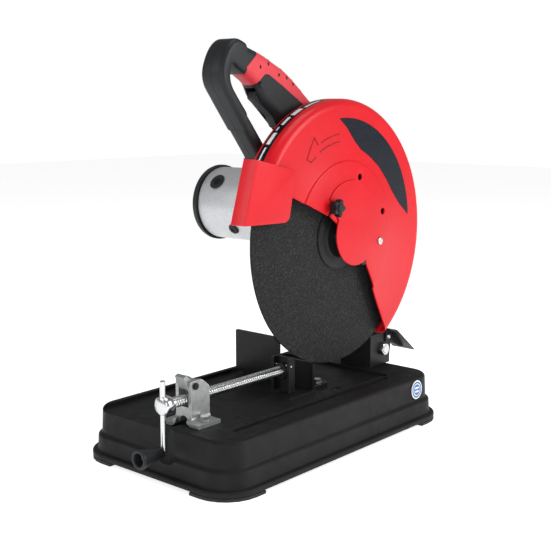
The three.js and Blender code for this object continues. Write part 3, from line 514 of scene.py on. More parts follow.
def make_machined():
    """Turned and ground steel."""
    s = Shader("machined_steel")
    lines = s.noise(1200, 2)
    s.set(Base_Color=s.ramp(lines, (0.3, (0.36, 0.36, 0.37)), (0.7, (0.50, 0.50, 0.51))),
          Metallic=1.0, Roughness=s.ramp(lines, (0.3, 0.25), (0.7, 0.40)))
    s.bump(lines, 0.06, 0.0002)
    return s.material


def make_copper():
    """Copper winding, its wires running across X."""
    s = Shader("wound_copper")
    turns = s.noise(1500, 2, at=s.stretch(0.05, 1.0, 1.0))
    s.set(Base_Color=s.ramp(turns, (0.3, (0.35, 0.12, 0.05)), (0.7, (0.62, 0.26, 0.11))),
          Metallic=0.9, Roughness=0.35)
    s.bump(turns, 0.4, 0.0004)
    return s.material


def make_gloss(name, low, high, rough=0.25):
    """Printed film: an even colour with a slight drift and a gloss."""
    s = Shader(name)
    s.set(Base_Color=s.ramp(s.noise(35, 2), (0.3, low), (0.7, high)),
          Roughness=s.ramp(s.noise(220, 2), (0.3, rough), (0.7, rough + 0.08)),
          Specular_IOR_Level=0.25)
    s.bump(s.noise(600, 2), 0.04, 0.0001)
    return s.material


MATERIALS = {
    "black_paint": make_textured_black(),
    "smooth_black": make_smooth_black(),
    "rubber": make_rubber(),
    "bolt_steel": make_bolt_steel(),
    "grey_cast": make_cast_grey(),
    "chrome": make_chrome(),
    "black_plastic": make_black_plastic(),
    "red_paint": make_red_paint(),
    "red_grip": make_red_grip(),
    # darker red for the arrow's raised lines: painted shade along them
    "red_painted_shade": make_gloss("red_painted_shade", (0.34, 0.004, 0.008), (0.40, 0.006, 0.010), 0.4),
    "motor_alloy": make_silver(),
    "machined_steel": make_machined(),
    "copper": make_copper(),
    "abrasive": make_abrasive(),
    "film_black": make_gloss("film_black", (0.004, 0.006, 0.012), (0.008, 0.010, 0.018)),
    "film_white": make_gloss("film_white", (0.78, 0.78, 0.78), (0.86, 0.86, 0.86)),
    "badge": make_gloss("badge", (0.03, 0.14, 0.36), (0.05, 0.20, 0.45)),
    # near-black film laid in recesses: painted shade
    "painted_recess_shade": make_gloss("painted_recess_shade", (0.002, 0.002, 0.002), (0.004, 0.004, 0.004), 0.6),
}


def dress(obj, material):
    obj.data.materials.clear()
    obj.data.materials.append(MATERIALS[material])
    return obj


def keep(obj, body, material, replaced=(), angle=35.0):
    """Finishes a new piece: its shading, material and body, and hides the CAD parts it replaces."""
    smooth(obj, angle)
    dress(obj, material)
    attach(obj, body)
    if replaced:
        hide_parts(*replaced)


# ------------------------------------------------------------------ base
def base_ring(half_x, z):
    """One ring of the base wall: its half length and corner follow from its half width."""
    corner = 49.0 - (140.0 - half_x)
    return [place(u, v, z) for u, v in rounded_rect(half_x, half_x + 98.0, corner, steps=16)]


def loft(name, rings):
    """A closed solid through rings of points, from the lowest to the highest."""
    verts = [v for ring in rings for v in ring]
    count = len(rings[0])
    faces = []
    for level in range(len(rings) - 1):
        for i in range(count):
            j = (i + 1) % count
            low, high = level * count, (level + 1) * count
            faces.append((low + i, low + j, high + j, high + i))
    faces.append(tuple(range((len(rings) - 1) * count, len(rings) * count)))
    faces.append(tuple(reversed(range(count))))
    return mesh_from(name, verts, faces)


def base_profile():
    """(half width, height) up the wall: flange, lower wall, joggle, upper wall and top edge."""
    points = [(138.6, 4.3), (139.6, 4.9), (140.0, 6.2), (140.0, 9.6), (139.4, 11.0), (138.0, 11.8)]
    points += [(134.6, 12.1), (133.2, 12.7), (132.6, 14.2), (131.8, 30.4)]
    for i in range(9):
        t = i / 8
        points.append((131.7 - 5.1 * (3 * t * t - 2 * t ** 3), 31.0 + 6.0 * t))
    points.append((125.4, 64.0))
    points += [(120.4 + x, z) for x, z in arc(0.0, 64.5, 5.0, 0, 90, 8)]
    return points


def trough_outline():
    """The sunken part of the table: open to the front, wider behind the vise."""
    return rounded([(-114, -250, 0), (24, -250, 0), (24, 3, 7), (64, 43, 8), (86, 60, 8),
                    (86, 165, 12), (-114, 165, 12)])


def build_base():
    """Pressed shell with its trough, groove, disc slot and crank hollow cut in."""
    profile = base_profile()
    base = loft("base_shell", [base_ring(x, z) for x, z in profile])
    inner = [(x - 3.0, z) for x, z in profile if 13.5 < z < 60.0]
    rings = [base_ring(131.0, 2.0)] + [base_ring(x, z) for x, z in inner] + [base_ring(121.0, 61.4)]
    cavity = loft("cavity", rings)
    cove_wall = turned("cove_wall", "z", [(0, 0), (30, 0), (30, 90), (0, 90)], SCREW_X, COVE_Y, 64)
    subtract(cavity, cove_wall)
    cove = turned("cove", "z", [(0, 21), (8, 21.5), (15, 23.5), (20.5, 27), (24.5, 32.5), (26, 39),
                  (26, 80), (0, 80)], SCREW_X, COVE_Y, 72)
    disc_slot = plate("disc_slot", "z", rounded_rect(6, 56, 5.9, 60, 24), 50, 80)
    groove = plate("groove", "z", rounded_rect(4.6, 164, 3.0, *GROOVE), TABLE_TOP - 2.6, 80)
    trough = plate("trough", "z", trough_outline(), TROUGH_FLOOR, 80)
    hole = plate("hole", "z", arc(57, -134, 2.0, 0, 345, 23), 50, 80)
    subtract(base, trough, groove, disc_slot, cove, hole, cavity)
    keep(base, "base", "black_paint", replaced=("base",), angle=40)
    soften(base, 1.1, 3, 40)
    # a near-black sheet on the groove's floor: painted shade in the groove
    groove_shade_sheet = plate("groove_painted_shade", "z", rounded_rect(4.5, 163.8, 2.9, *GROOVE), TABLE_TOP - 2.7,
                TABLE_TOP - 2.3)
    keep(groove_shade_sheet, "base", "painted_recess_shade")
    ridge = plate("table_ridge", "z", rounded_rect(1.9, 148, 1.8, 83, 2), TABLE_TOP - 0.8,
                  TABLE_TOP + 0.9, 0.75)
    keep(ridge, "base", "black_paint")


def build_feet():
    for node in ("foot_front_left", "foot_front_right", "foot_rear_left", "foot_rear_right"):
        soften(dress(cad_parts[node], "rubber"), 0.6, 2)


def wall_half_width(z):
    """Half width of the base wall at a height, from its profile."""
    points = base_profile()
    for (x0, z0), (x1, z1) in zip(points, points[1:]):
        if z0 <= z <= z1:
            return x0 + (x1 - x0) * (z - z0) / max(z1 - z0, 1e-6)
    return points[-1][0]


def wall_oval(name, cy, cz, half_y, half_z, proud, inner=0.0):
    """A thin oval film that follows the right wall; `inner` leaves only a rim."""
    verts, faces = [], []
    rings, sides = 10, 64
    for ring in range(rings + 1):
        share = inner + (1.0 - inner) * ring / rings
        for i in range(sides):
            angle = 2 * math.pi * i / sides
            y = cy + half_y * share * math.cos(angle)
            z = cz + half_z * share * math.sin(angle)
            verts.append(place(wall_half_width(z) + proud, y, z))
    for ring in range(rings):
        for i in range(sides):
            j = (i + 1) % sides
            low, high = ring * sides, (ring + 1) * sides
            faces.append((low + i, low + j, high + j, high + i))
    return mesh_from(name, verts, faces)


def build_badge():
    """Oval badge: a plain blue field in a white rim, with a white ring and two white bars."""
    y, z = BADGE
    keep(wall_oval("badge_rim", y, z, 13.5, 13.8, 1.1), "base", "film_white",
         ("side_badge",))
    keep(wall_oval("badge_field", y, z, 11.6, 11.9, 1.25), "base", "badge")
    keep(wall_oval("badge_ring", y, z, 9.2, 9.4, 1.35, 0.86), "base", "film_white")
    for level, rise in (("low", -2.6), ("high", 2.6)):
        keep(wall_oval(f"badge_bar_{level}", y, z + rise, 5.8, 1.4, 1.4), "base", "film_white")


# ------------------------------------------------------------------ guard
def pan_profile(inset):
    """The guard's cross-section from its back edge round the rim to the raised centre."""
    outer = GUARD_RADIUS - inset
    back = GUARD_LEFT + inset
    face = GUARD_RIGHT - inset
    raised = RAISED_FACE - inset
    profile = [(0, back), (outer - 3.0, back)]
    profile += [(outer - 3.0 + r, x) for x, r in arc(back + 3.0, 0, 3.0, 180, 90, 5)]
    bend = 13.0 - inset
    profile += [(outer - bend + r, x) for x, r in arc(face - bend, 0, bend, 90, 0, 12)]
    for i in range(7):
        t = i / 6
        rise = (3 * t * t - 2 * t ** 3) * (RAISED_FACE - GUARD_RIGHT)
        profile.append((RAISED_RADIUS + 1.6 - 3.6 * t, face + rise))
    profile.append((0, raised))
    return profile


def guard_outline():
    """What the guard keeps of the full pan, seen along X."""
    return [(29, 315), (-178, 401), (-178, 520), (300, 520), (300, 90), (188, 90), (168, 135),
            (140, 187), (127, 216), (108, 249), (62, 292)]


def build_guard():
    """Pan round the upper disc, with the knob's slot, two holes and an opening for the spindle."""
    guard = turned("upper_guard", "x", pan_profile(0), *GUARD, 220)
    inner = turned("guard_inner", "x", pan_profile(2.2), *GUARD, 220)
    outline = plate("guard_cut", "x", guard_outline(), 30, 90)
    slot = plate("knob_slot", "x", [(34, 329.6), (28, 326.4), (14, 299), (20, 295)], 70, 90)
    holes = [rod("hole_a", "x", 4.9, 70, 90, 94, 366), rod("hole_b", "x", 4.9, 70, 90, 150, 314)]
    centre_hole = rod("centre_hole", "x", 26, 30, 50, *SPINDLE)
    subtract(guard, inner)
    intersect(guard, outline)
    subtract(guard, *holes, slot, centre_hole)
    keep(guard, "head", "red_paint", replaced=("guard",), angle=30)
    soften(guard, 0.7, 2, 40)


def polar(radius, degrees):
    """A point (y, z) at a distance and direction from the guard's centre."""
    angle = math.radians(degrees)
    return (GUARD[0] + radius * math.cos(angle), GUARD[1] + radius * math.sin(angle))


def build_crescent():
    """Plain black crescent on the guard's face."""
    outline = []
    for i in range(33):
        t = i / 32
        outline.append(polar(162.5 - 9.5 * t ** 1.5, 96 - 89 * t))
    inner = ((133, 16.5), (123, 27), (120.5, 38), (120, 51), (120.5, 64), (123, 75), (133, 83),
             (149, 90))
    outline += [polar(radius, degrees) for radius, degrees in inner]
    film = plate("crescent_film", "x", rounded([(u, v, 0.4) for u, v in outline], 2),
                 GUARD_RIGHT - 0.1, GUARD_RIGHT + 0.25)
    keep(film, "head", "film_black")


def build_arrow():
    """Raised outline of a direction arrow, pressed in the guard's face, in a darker red that paints
    the shade along it.
    """
    path = [polar(131.5, 97)] + [polar(131.5, d) for d in (101, 105, 109, 113, 116)]
    path += [polar(130, 121), polar(130, 126), polar(138.5, 128), polar(146, 122.5),
             polar(154, 117), polar(142, 116)]
    path += [polar(141.5, d) for d in (113, 109, 105, 101, 97)]
    curve = bpy.data.curves.new("arrow_ridge", "CURVE")
    curve.dimensions = "3D"
    curve.bevel_depth = 1.1 * MM
    curve.bevel_resolution = 2
    for stretch in (path[0:6], path[6:12], path[12:]):
        spline = curve.splines.new("POLY")
        spline.points.add(len(stretch) - 1)
        for point, (y, z) in zip(spline.points, stretch):
            point.co = (*place(GUARD_RIGHT, y, z), 1.0)
    ridge = bpy.data.objects.new("arrow_ridge", curve)
    bpy.context.scene.collection.objects.link(ridge)
    # the darker red paints the shade along the raised lines
    curve.materials.append(MATERIALS["red_painted_shade"])
    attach(ridge, "head")


def rim_film(name, start, sweep, low, high, proud):
    """A thin band on the guard's rim between two places along X."""
    profile = [(GUARD_RADIUS + proud, low), (GUARD_RADIUS + proud, high)]
    return turned(name, "x", profile, *GUARD, 60, sweep, start)


def build_rim_strip():
    """Black band on the rim with plain white blocks."""
    strip = rim_film("rim_strip", 99, 54, 46.5, 60.5, 0.2)
    keep(strip, "head", "film_black")
    marks = ((138, 13, 51.5, 54.2), (130, 6.4, 50, 56), (126.5, 2.2, 50, 52.5),
             (119.5, 5.6, 50.5, 55.5), (112, 6.0, 50, 57.5), (101, 9.5, 54, 58.5))
    for index, (start, sweep, low, high) in enumerate(marks):
        mark = rim_film(f"rim_mark_{index}", start, sweep, low, high, 0.32)
        keep(mark, "head", "film_white")


def cover_outline():
    """The cover seen along X: a curved back edge and a round front."""
    points = [(26, 340), (33, 349), (45, 357.2), (60, 361.6), (77, 363.3)]
    points += arc(*GUARD, 79, 80, -12, 30)
    points += [(109, 248.5)]
    points += arc(86, 289, 46, -62, -207, 50)
    return points


def build_cover():
    cover = plate("centre_cover", "x", cover_outline(), COVER_LEFT, COVER_RIGHT, 0.6)
    keep(cover, "cover", "red_paint", replaced=("cover_plate",))
    notch = plate("cover_notch_pad", "x", rounded([(100, 247, 1), (112, 252, 2), (112, 243, 2),
                  (103, 240, 2)]), 74.2, 78.6, 0.6)
    keep(notch, "head", "black_plastic")


def build_wing_knob():
    """Five-lobed knob on a stud that runs in the guard's slot."""
    x0 = KNOB_SEAT
    outline = []
    for i in range(100):
        angle = 2 * math.pi * i / 100
        radius = 10.2 + 2.4 * math.cos(5 * angle + 0.6)
        outline.append((KNOB[0] + radius * math.cos(angle), KNOB[1] + radius * math.sin(angle)))
    lobes = plate("wing_lobes", "x", outline, x0 + 2, x0 + 12.5, 1.8)
    hub = turned("wing_hub", "x", [(0, x0), (8.2, x0), (8.2, x0 + 3), (6.4, x0 + 12),
                 (5.8, x0 + 14.6), (4.6, x0 + 15), (0, x0 + 15)], *KNOB, 48)
    stud = rod("wing_stud", "x", 2.9, 71, x0 + 1, *KNOB, 24)
    knob = join("wing_nut", [lobes, hub, stud])
    keep(knob, "wing_knob", "black_plastic", replaced=("wing_knob",))


def build_front_deflector():
    """Flat face with a lip bent back across the disc's edge."""
    top, bottom = DEFLECTOR_TOP, DEFLECTOR_BOTTOM
    face = plate("deflector_face", "x", rounded([(*top, 1.5), (*bottom, 2.5), (-60, 316, 10),
                 (-46, 382, 10)]), 78.6, 80.6, 0.6)
    lip = plate("deflector_lip", "x", rounded([(*top, 0.4), (top[0] - 2, top[1] + 0.6, 0.4),
                (bottom[0] - 2, bottom[1] + 0.6, 0.4), (*bottom, 0.4)]), 58, 80.4, 0.4)
    keep(join("front_spark_plate", [face, lip]), "head", "red_paint", replaced=("front_deflector",))


# ------------------------------------------------------------------ disc and flanges
def build_disc():
    y, z = SPINDLE
    profile = [(DISC_BORE, DISC_LEFT), (DISC_RADIUS - 0.6, DISC_LEFT),
               (DISC_RADIUS, DISC_LEFT + 0.4), (DISC_RADIUS, DISC_RIGHT - 0.4),
               (DISC_RADIUS - 0.6, DISC_RIGHT), (DISC_BORE, DISC_RIGHT), (DISC_BORE, DISC_LEFT)]
    disc = turned("grinding_disc", "x", profile, y, z, 200)
    keep(disc, "spindle", "abrasive", replaced=("disc",))
    face = FLANGE_FACE
    flange = turned("clamp_flange", "x", [(4.6, face), (44, face), (45, face + 0.8),
                    (45, face + 1.8), (44, face + 2.6), (33, face + 3.0), (31.2, face + 3.6),
                    (30, face + 5.0), (29, face + 5.6), (4.6, face + 5.6), (4.6, face)], y, z, 96)
    keep(flange, "spindle", "smooth_black", ("outer_flange",), 25)


# ------------------------------------------------------------------ motor
def build_motor():
    """Shell with its rear seam, end cap and two brush caps."""
    y, z = MOTOR
    shell = turned("motor_shell", "x", [(47.9, -127.7), (50.4, -127.7), (51.6, -127.0),
                   (52, -125.6), (52, -20.0), (47.9, -20.0), (47.9, -127.7)], y, z, 128)
    keep(shell, "head", "motor_alloy", replaced=("motor_housing",))
    seam = turned("motor_seam", "x", [(52.05, -25.4), (52.35, -25.0), (52.35, -24.4),
                  (52.05, -24.0)], y, z, 128)
    keep(seam, "head", "motor_alloy")
    cap = turned("motor_end_cap", "x", [(0, -140), (38, -140), (48, -139.6), (51.5, -138.6),
                 (53.9, -136.6), (55, -133.6), (55, -129.4), (54.4, -128.4), (53.2, -128),
                 (47.4, -128), (47.4, -124), (43, -124), (43, -132), (0, -132)], y, z, 128)
    keep(cap, "head", "black_plastic", replaced=("motor_cap",), angle=28)
    for node, degrees in (("brush_cap_upper", 140), ("brush_cap_lower", -40)):
        build_brush_cap(node, degrees)


def radial_piece(name, profile, x, degrees):
    """A turned piece whose axis points away from the motor's axis."""
    piece = turned(name, "z", profile, 0, 0, 48)
    angle = math.radians(degrees)
    direction = Vector((0, math.cos(angle), math.sin(angle)))
    turn = Vector((0, 0, 1)).rotation_difference(direction).to_matrix().to_4x4()
    back = Matrix.Translation(-place(0, 0, 0))
    there = Matrix.Translation(place(x, *MOTOR))
    piece.data.transform(there @ turn @ back)
    return piece


def build_brush_cap(node, degrees):
    """Round cap in the motor shell, with a black disc in its screwdriver recess as painted shade.
    """
    cap = radial_piece(f"{node}_look", [(0, 44), (6, 44), (6, 52.2), (11.8, 52.2), (12, 52.5),
                       (11.8, 53.1), (11.2, 53.5), (8.2, 53.6), (7.4, 52.9), (0, 52.9)], BRUSH_X,
                       degrees)
    keep(cap, "head", "black_plastic", replaced=(node,))
    # black disc in the cap's recess: painted shade
    slot_shade = radial_piece(f"{node}_slot", [(0, 52.7), (5.2, 52.7), (5.2, 53.1), (0, 53.1)], BRUSH_X,
                          degrees)
    keep(slot_shade, "head", "painted_recess_shade")


# ------------------------------------------------------------------ handle
def smooth_loop(points, per_span):
    """Points on a closed curve that passes smoothly through the given ones."""
    result = []
    count = len(points)
    vectors = [Vector(point) for point in points]
    for i in range(count):
        p0, p1, p2, p3 = (vectors[(i + k) % count] for k in (-1, 0, 1, 2))
        for k in range(per_span):
            t = k / per_span
            result.append(0.5 * (2 * p1 + (p2 - p0) * t + (2 * p0 - 5 * p1 + 4 * p2 - p3) * t * t
                                 + (3 * p1 - p0 - 3 * p2 + p3) * t ** 3))
    return result


HANDLE_STATIONS = [
    # outer y, z and inner y, z of the handle's section, once round the loop
    (-40, 362, -30, 391), (-62, 396, -47, 408), (-92, 434.5, -76, 443), (-120, 470.5, -103, 474),
    (-134, 491, -114.5, 490), (-135, 511, -116.5, 505), (-123, 535, -112, 514),
    (-105, 546.3, -101, 508), (-79, 537.5, -84, 499.5), (-54, 529.5, -68, 489),
    (-30, 519, -57, 471.5), (-5, 507, -36, 453.5), (30, 482, -10, 431), (66, 450, 8, 415),
    (81, 400, 12, 402), (77, 352, 4, 394), (20, 341, -12, 390.5),
]


def handle_ring(name, low, high, corner):
    """The handle's closed loop: a rounded rectangular section carried round the stations."""
    stations = smooth_loop(HANDLE_STATIONS, 7)
    middle = (low + high) / 2
    half = (high - low) / 2
    verts, faces = [], []
    for station in stations:
        outer, inner = Vector(station[:2]), Vector(station[2:])
        centre = (outer + inner) / 2
        reach = (outer - inner).length / 2
        along = (outer - inner).normalized()
        section = rounded_rect(reach, half, min(corner, reach * 0.8), steps=6)
        for u, w in section:
            point = centre + along * u
            verts.append(place(middle + w, point.x, point.y))
    around = len(verts) // len(stations)
    for i in range(len(stations)):
        this, following = i * around, (i + 1) % len(stations) * around
        for k in range(around):
            m = (k + 1) % around
            faces.append((this + k, this + m, following + m, following + k))
    return mesh_from(name, verts, faces)


def grip_region(grow=0.0):
    """The stretch of the grip under the soft red cover; its lower line tops the side panel."""
    return [(-106 - grow, 496 - grow), (-62 - grow, 533), (-60 - grow, 560), (70, 560),
            (70, 441 - grow), (40, 455 - grow), (14, 471 - grow), (-20, 490 - grow),
            (-46, 503.5 - grow), (-53, 503.5 - grow), (-59, 499 - grow), (-68, 490 - grow),
            (-80, 480 - grow)]


def build_handle():
    """Closed handle in two shells, slimmer along the grip, with the soft cover let into it."""
    wide = handle_ring("handle_wide", HANDLE_LEFT, HANDLE_RIGHT, 7.0)
    subtract(wide, block("grip_room", -10, 50, -90, 110, 395, 580))
    narrow = handle_ring("handle_narrow", 0.5, 33.5, 12.0)
    grip = intersect(narrow, block("grip_part", -10, 50, -90.4, 110, 394.6, 580))
    cover = new_object("grip_soft_cover", grip.data.copy())
    intersect(cover, plate("cover_part", "x", grip_region(), -10, 50))
    subtract(grip, plate("cover_room", "x", grip_region(0.25), -10, 50))
    trigger_room = plate("trigger_room", "x", [(-70, 470), (-62, 498), (-10, 466), (2, 442),
                         (-8, 425), (-40, 425)], 8.5, 25.5)
    subtract(grip, trigger_room)
    for side, low, high in (("left", -20, SEAM - 0.2), ("right", SEAM + 0.2, 60)):
        pieces = []
        for part in (wide, grip):
            half = new_object(f"{part.name}_{side}", part.data.copy())
            intersect(half, block("half", low, high, -250, 250, 300, 600))
            pieces.append(half)
        shell = join(f"handle_shell_{side}", pieces)
        keep(shell, "head", "black_plastic", replaced=(f"handle_{side}",), angle=30)
    bpy.data.objects.remove(wide)
    bpy.data.objects.remove(grip)
    build_dimples(cover)
    keep(cover, "head", "red_grip", replaced=("grip_cover",), angle=30)


def build_dimples(cover):
    """Small black discs in two rows on each shoulder of the soft cover: painted shade of its
    dimples.
    """
    tree = BVHTree.FromObject(cover, bpy.context.evaluated_depsgraph_get())
    marks = []
    rows = (
        (36, ((-62, 512.5), (-46, 517), (-26, 503), (-9, 501), (4, 493))),
        (30, ((-40, 523), (-16, 512), (8, 499), (26, 486))),
    )
    for x, spots in rows:
        for y, z in spots:
            for side in (x, HANDLE_LEFT + HANDLE_RIGHT - x):
                marks.append(place(side, y, z))
    pieces = []
    profile = [(0, -0.4), (2.5, -0.4), (2.3, 0.18), (1.6, 0.25), (0, 0.25)]
    for index, mark in enumerate(marks):
        spot, normal, _, _ = tree.find_nearest(mark)
        pit = turned(f"pit_{index}", "z", profile, 0, 0, 20)
        turn = Vector((0, 0, 1)).rotation_difference(normal).to_matrix().to_4x4()
        squeeze = Matrix.Diagonal((1.0, 0.7, 1.0, 1.0))
        back = Matrix.Translation(-place(0, 0, 0))
        pit.data.transform(Matrix.Translation(spot) @ turn @ squeeze @ back)
        pieces.append(pit)
    # the black discs paint the shade inside the dimples
    keep(join("grip_dimple_shade", pieces), "head", "painted_recess_shade")


def build_trigger():
    side = rounded([(-63, 473, 3), (-59, 482.5, 2), (-16, 452, 4), (-6, 445, 3), (-8, 434, 3),
                    (-18, 434, 4), (-27, 449, 6)])
    trigger = plate("finger_lever", "x", side, 9.2, 24.8, 1.6)
    keep(trigger, "trigger", "black_plastic", replaced=("trigger",))


# ------------------------------------------------------------------ vise
def build_screw():
    """The vise screw with its real thread cut between the head and the jaw."""
    low, high, radius, depth, pitch, sides = -219.0, -13.0, 7.0, 1.1, 4.0, 40
    rows = int((high - low) / pitch * 8)
    verts, faces = [], []
    for row in range(rows + 1):
        along = low + (high - low) * row / rows
        for i in range(sides):
            angle = 2 * math.pi * i / sides
            phase = ((along - low) / pitch - i / sides) % 1.0
            wave = min(1.0, max(0.0, 1.6 * abs(2 * phase - 1) - 0.3))
            fade = min(1.0, (along - low) / 4.0, (high - along) / 4.0)
            r = radius - depth * wave * fade
            verts.append(place(SCREW_X + r * math.cos(angle), along, SCREW_Z + r * math.sin(angle)))
    for row in range(rows):
        this, following = row * sides, (row + 1) * sides
        for i in range(sides):
            j = (i + 1) % sides
            faces.append((this + i, this + j, following + j, following + i))
    thread = mesh_from("screw_thread", verts, faces)
    head = turned("screw_head", "y", [(0, -236), (10.6, -236), (12, -234.6), (12, -224.2),
                  (11, -222.6), (8.5, -222), (7, -221.6), (7, low), (0, low)], SCREW_X, SCREW_Z, 64)
    tip = turned("screw_tip", "y", [(0, high), (7, high), (7, -10.2), (5.6, -10.2), (5.6, -5.8),
                 (7, -5.8), (7, -4.6), (0, -4.6)], SCREW_X, SCREW_Z, 48)
    spindle = join("vise_spindle", [thread, head, tip])
    keep(spindle, "screw", "chrome", replaced=("vise_screw",), angle=50)


def build_crank():
    """Cross bar through the screw's head, with a stub that carries the turning grip."""
    bar = turned("crank_bar", "z", [(0, 38.8), (2.6, 38.9), (3.5, 39.9), (3.5, 131.4),
                 (2.6, 132.4), (0, 132.5)], SCREW_X, CRANK_Y, 32)
    stub = rod("crank_stub", "y", 3, -264.4, CRANK_Y, SCREW_X, CRANK_Z, 32)
    end = rod("crank_end", "y", 5, -264.8, -262.4, SCREW_X, CRANK_Z, 32)
    keep(join("crank_lever", [bar, stub, end]), "screw", "chrome", replaced=("crank_rod",))
    profile = [(3.1, -235.6), (6.2, -235.6), (7.0, -236.4), (7.4, -239), (8.2, -246), (9.6, -256),
               (11.4, -266), (12.3, -270), (12.5, -272), (12.1, -273.5), (11.2, -274), (9.2, -274),
               (8.4, -273.4), (8.0, -272), (7.8, -262), (3.1, -262), (3.1, -235.6)]
    grip = turned("crank_handle", "y", profile, SCREW_X, CRANK_Z, 64)
    keep(grip, "grip", "black_plastic", replaced=("crank_grip",), angle=40)


def build_bolt(node, x, y, z):
    """A flanged hex bolt on a plate whose top is at z."""
    washer = turned("washer", "z", [(0, z + 0.3), (6.6, z + 0.3), (6.9, z + 0.6), (6.8, z + 1.4),
                    (0, z + 1.7)], x, y, 40)
    shank = rod("shank", "z", 3, z - 14, z + 1, x, y, 24)
    head = hex_bolt("head", "z", BOLT_ACROSS, z + 1.5, z + 6, x, y)
    piece = join(f"{node}_look", [washer, shank, head])
    keep(piece, "base", "bolt_steel", replaced=(node,), angle=25)


def bent_leg(name, side, near, foot, end, y0, y1):
    """A strip that stands upright and bends outward into a foot; side is +1 or -1."""
    thick, bend, top = 5.0, 10.0, 126.0
    centre = near + side * bend
    outline = [(near, top)]
    outline += [(centre + side * u, w) for u, w in arc(0, foot + bend, bend, 180, 270, 10)]
    outline += [(end, foot), (end, foot + thick)]
    outline += [(centre + side * u, w) for u, w in arc(0, foot + bend, bend - thick, 270, 180, 10)]
    outline += [(near + side * thick, top)]
    return plate(name, "y", outline, y0, y1)


def build_bracket():
    """Bracket bent from thick strip: two legs with feet, joined by an arched front web."""
    parts = [bent_leg("leg_right", 1, 33, TABLE_TOP + 0.3, 57, -203, -165),
             bent_leg("leg_left", -1, 15, TROUGH_FLOOR + 0.3, -9, -203, -165)]
    shape = rounded([(-203, 60, 0), (-165, 60, 0), (-165, 115, 3), (-178, 126, 3), (-197, 126, 3),
                     (-197, 78, 2), (-203, 75, 1)])
    for part in parts:
        intersect(part, plate("leg_shape", "x", shape, -30, 80))
        subtract(part, rod("pin_bore", "x", 3.3, 5, 45, *NUT_PIN, 32, 0.01))
    web = [(15, 91.5), (15, 72)] + arc(SCREW_X, 72, 8.0, 180, 0, 16) + [(33, 72), (33, 91.5)]
    parts.append(plate("web", "y", web, -197, -192))
    bracket = join("vise_bracket_bent", parts)
    keep(bracket, "base", "grey_cast", replaced=("vise_bracket",))
    soften(bracket, 0.8, 3, 35)


def build_vise():
    build_screw()
    build_crank()
    build_bracket()
    soften(dress(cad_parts["half_nut"], "grey_cast"), 0.7, 2, 35)
    build_bolt("vise_bolt_right", 46.5, -182, TABLE_TOP + 5.3)
    build_bolt("vise_bolt_left", 1.5, -182, TROUGH_FLOOR + 5.3)
    build_bolt("fence_bolt_left", -2, 62, TROUGH_FLOOR + 4.3)
    build_bolt("fence_bolt_right", 30, 62, TROUGH_FLOOR + 4.3)
    for node in ("jaw", "fence"):
        soften(dress(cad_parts[node], "smooth_black"), 0.5, 2, 35)


# ------------------------------------------------------------------ hinge
def build_hinge():
    for node in ("hinge_bracket", "rear_deflector"):
        soften(dress(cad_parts[node], "smooth_black"), 0.6, 2, 35)
    soften(dress(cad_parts["gear_housing"], "black_plastic"), 0.8, 2, 35)
    head = hex_bolt("head", "x", 17, 41.3, 47.6, *PIVOT)
    dome = turned("dome", "x", [(0, 47), (7.2, 47), (6.2, 48.2), (0, 48.4)], *PIVOT, 40)
    shaft = rod("shaft", "x", 6, -25, 42, *PIVOT, 40)
    bolt = join("pivot_bolt_look", [head, dome, shaft])
    keep(bolt, "base", "bolt_steel", replaced=("pivot_bolt",), angle=25)


# ------------------------------------------------------------------ what stays as the CAD made it
def dress_the_rest():
    """Pieces whose CAD shape is kept: a material and a fine edge."""
    plain = {
        "bolt_steel": ("pivot_nut", "depth_stop", "deflector_rivet", "jaw_pin", "cover_screw",
                       "deflector_screw", "spindle_bolt", "trigger_pin"),
        "machined_steel": ("return_spring", "armature", "bearing_motor_rear",
                           "bearing_motor_front", "spindle", "spindle_gear",
                           "bearing_spindle_inner", "bearing_spindle_outer", "inner_flange"),
        "black_plastic": ("fan", "lock_button", "lock_off_button", "switch_body"),
        "smooth_black": ("half_nut_pin",),
        "rubber": ("cord_gland",),
        "copper": ("stator",),
    }
    for material, nodes in plain.items():
        for node in nodes:
            soften(dress(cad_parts[node], material), 0.25, 2, 40)


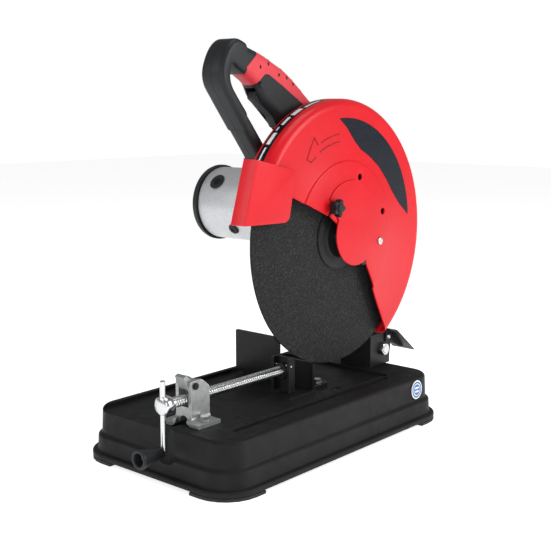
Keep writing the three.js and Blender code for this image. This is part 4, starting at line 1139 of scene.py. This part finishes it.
# ------------------------------------------------------------------ studio
def add_area(name, location, size, power):
    light = bpy.data.lights.new(name, "AREA")
    light.shape = "RECTANGLE"
    light.size, light.size_y = size
    light.energy = power
    lamp = bpy.data.objects.new(name, light)
    lamp.location = location
    aim = Vector(LAMP_AIM) - Vector(location)
    lamp.rotation_euler = aim.to_track_quat("-Z", "Y").to_euler()
    bpy.context.scene.collection.objects.link(lamp)


def build_studio():
    """Pale floor, white surroundings and four soft lamps."""
    floor = mesh_from("floor", [(-6, -6, 0), (6, -6, 0), (6, 6, 0), (-6, 6, 0)], [(0, 1, 2, 3)])
    shader = Shader("pale_floor")
    tone = shader.ramp(shader.noise(2, 2), (0.3, (0.90, 0.90, 0.90)), (0.7, (0.92, 0.92, 0.92)))
    shader.set(Base_Color=tone, Roughness=0.7, Emission_Color=(1.0, 1.0, 1.0),
               Emission_Strength=0.70)
    floor.data.materials.append(shader.material)
    build_world()
    for name, location, size, power in LAMPS:
        add_area(name, location, size, power)


def build_world():
    """White surroundings as seen directly, and dimmer ones in what falls on the saw."""
    world = bpy.data.worlds.new("studio")
    world.use_nodes = True
    nodes, links = world.node_tree.nodes, world.node_tree.links
    nodes.clear()
    path = nodes.new("ShaderNodeLightPath")
    strength = nodes.new("ShaderNodeMapRange")
    strength.inputs["To Min"].default_value = 0.27
    strength.inputs["To Max"].default_value = 1.0
    links.new(path.outputs["Is Camera Ray"], strength.inputs["Value"])
    background = nodes.new("ShaderNodeBackground")
    background.inputs[0].default_value = (1.0, 1.0, 1.0, 1.0)
    links.new(strength.outputs[0], background.inputs[1])
    out = nodes.new("ShaderNodeOutputWorld")
    links.new(background.outputs[0], out.inputs[0])
    bpy.context.scene.world = world


def build_camera():
    data = bpy.data.cameras.new("view")
    data.sensor_width = 36.0
    data.lens = LENS
    camera = bpy.data.objects.new("view", data)
    camera.location = place(*CAMERA_PLACE)
    aim = place(*CAMERA_AIM) - camera.location
    camera.rotation_euler = aim.to_track_quat("-Z", "Y").to_euler()
    bpy.context.scene.collection.objects.link(camera)
    bpy.context.scene.camera = camera
    bpy.context.scene.view_settings.view_transform = "Standard"


build_camera()
build_base()
build_feet()
build_badge()
build_guard()
build_crescent()
build_arrow()
build_rim_strip()
build_cover()
build_wing_knob()
build_front_deflector()
build_disc()
build_motor()
build_handle()
build_trigger()
build_vise()
build_hinge()
dress_the_rest()
build_studio()
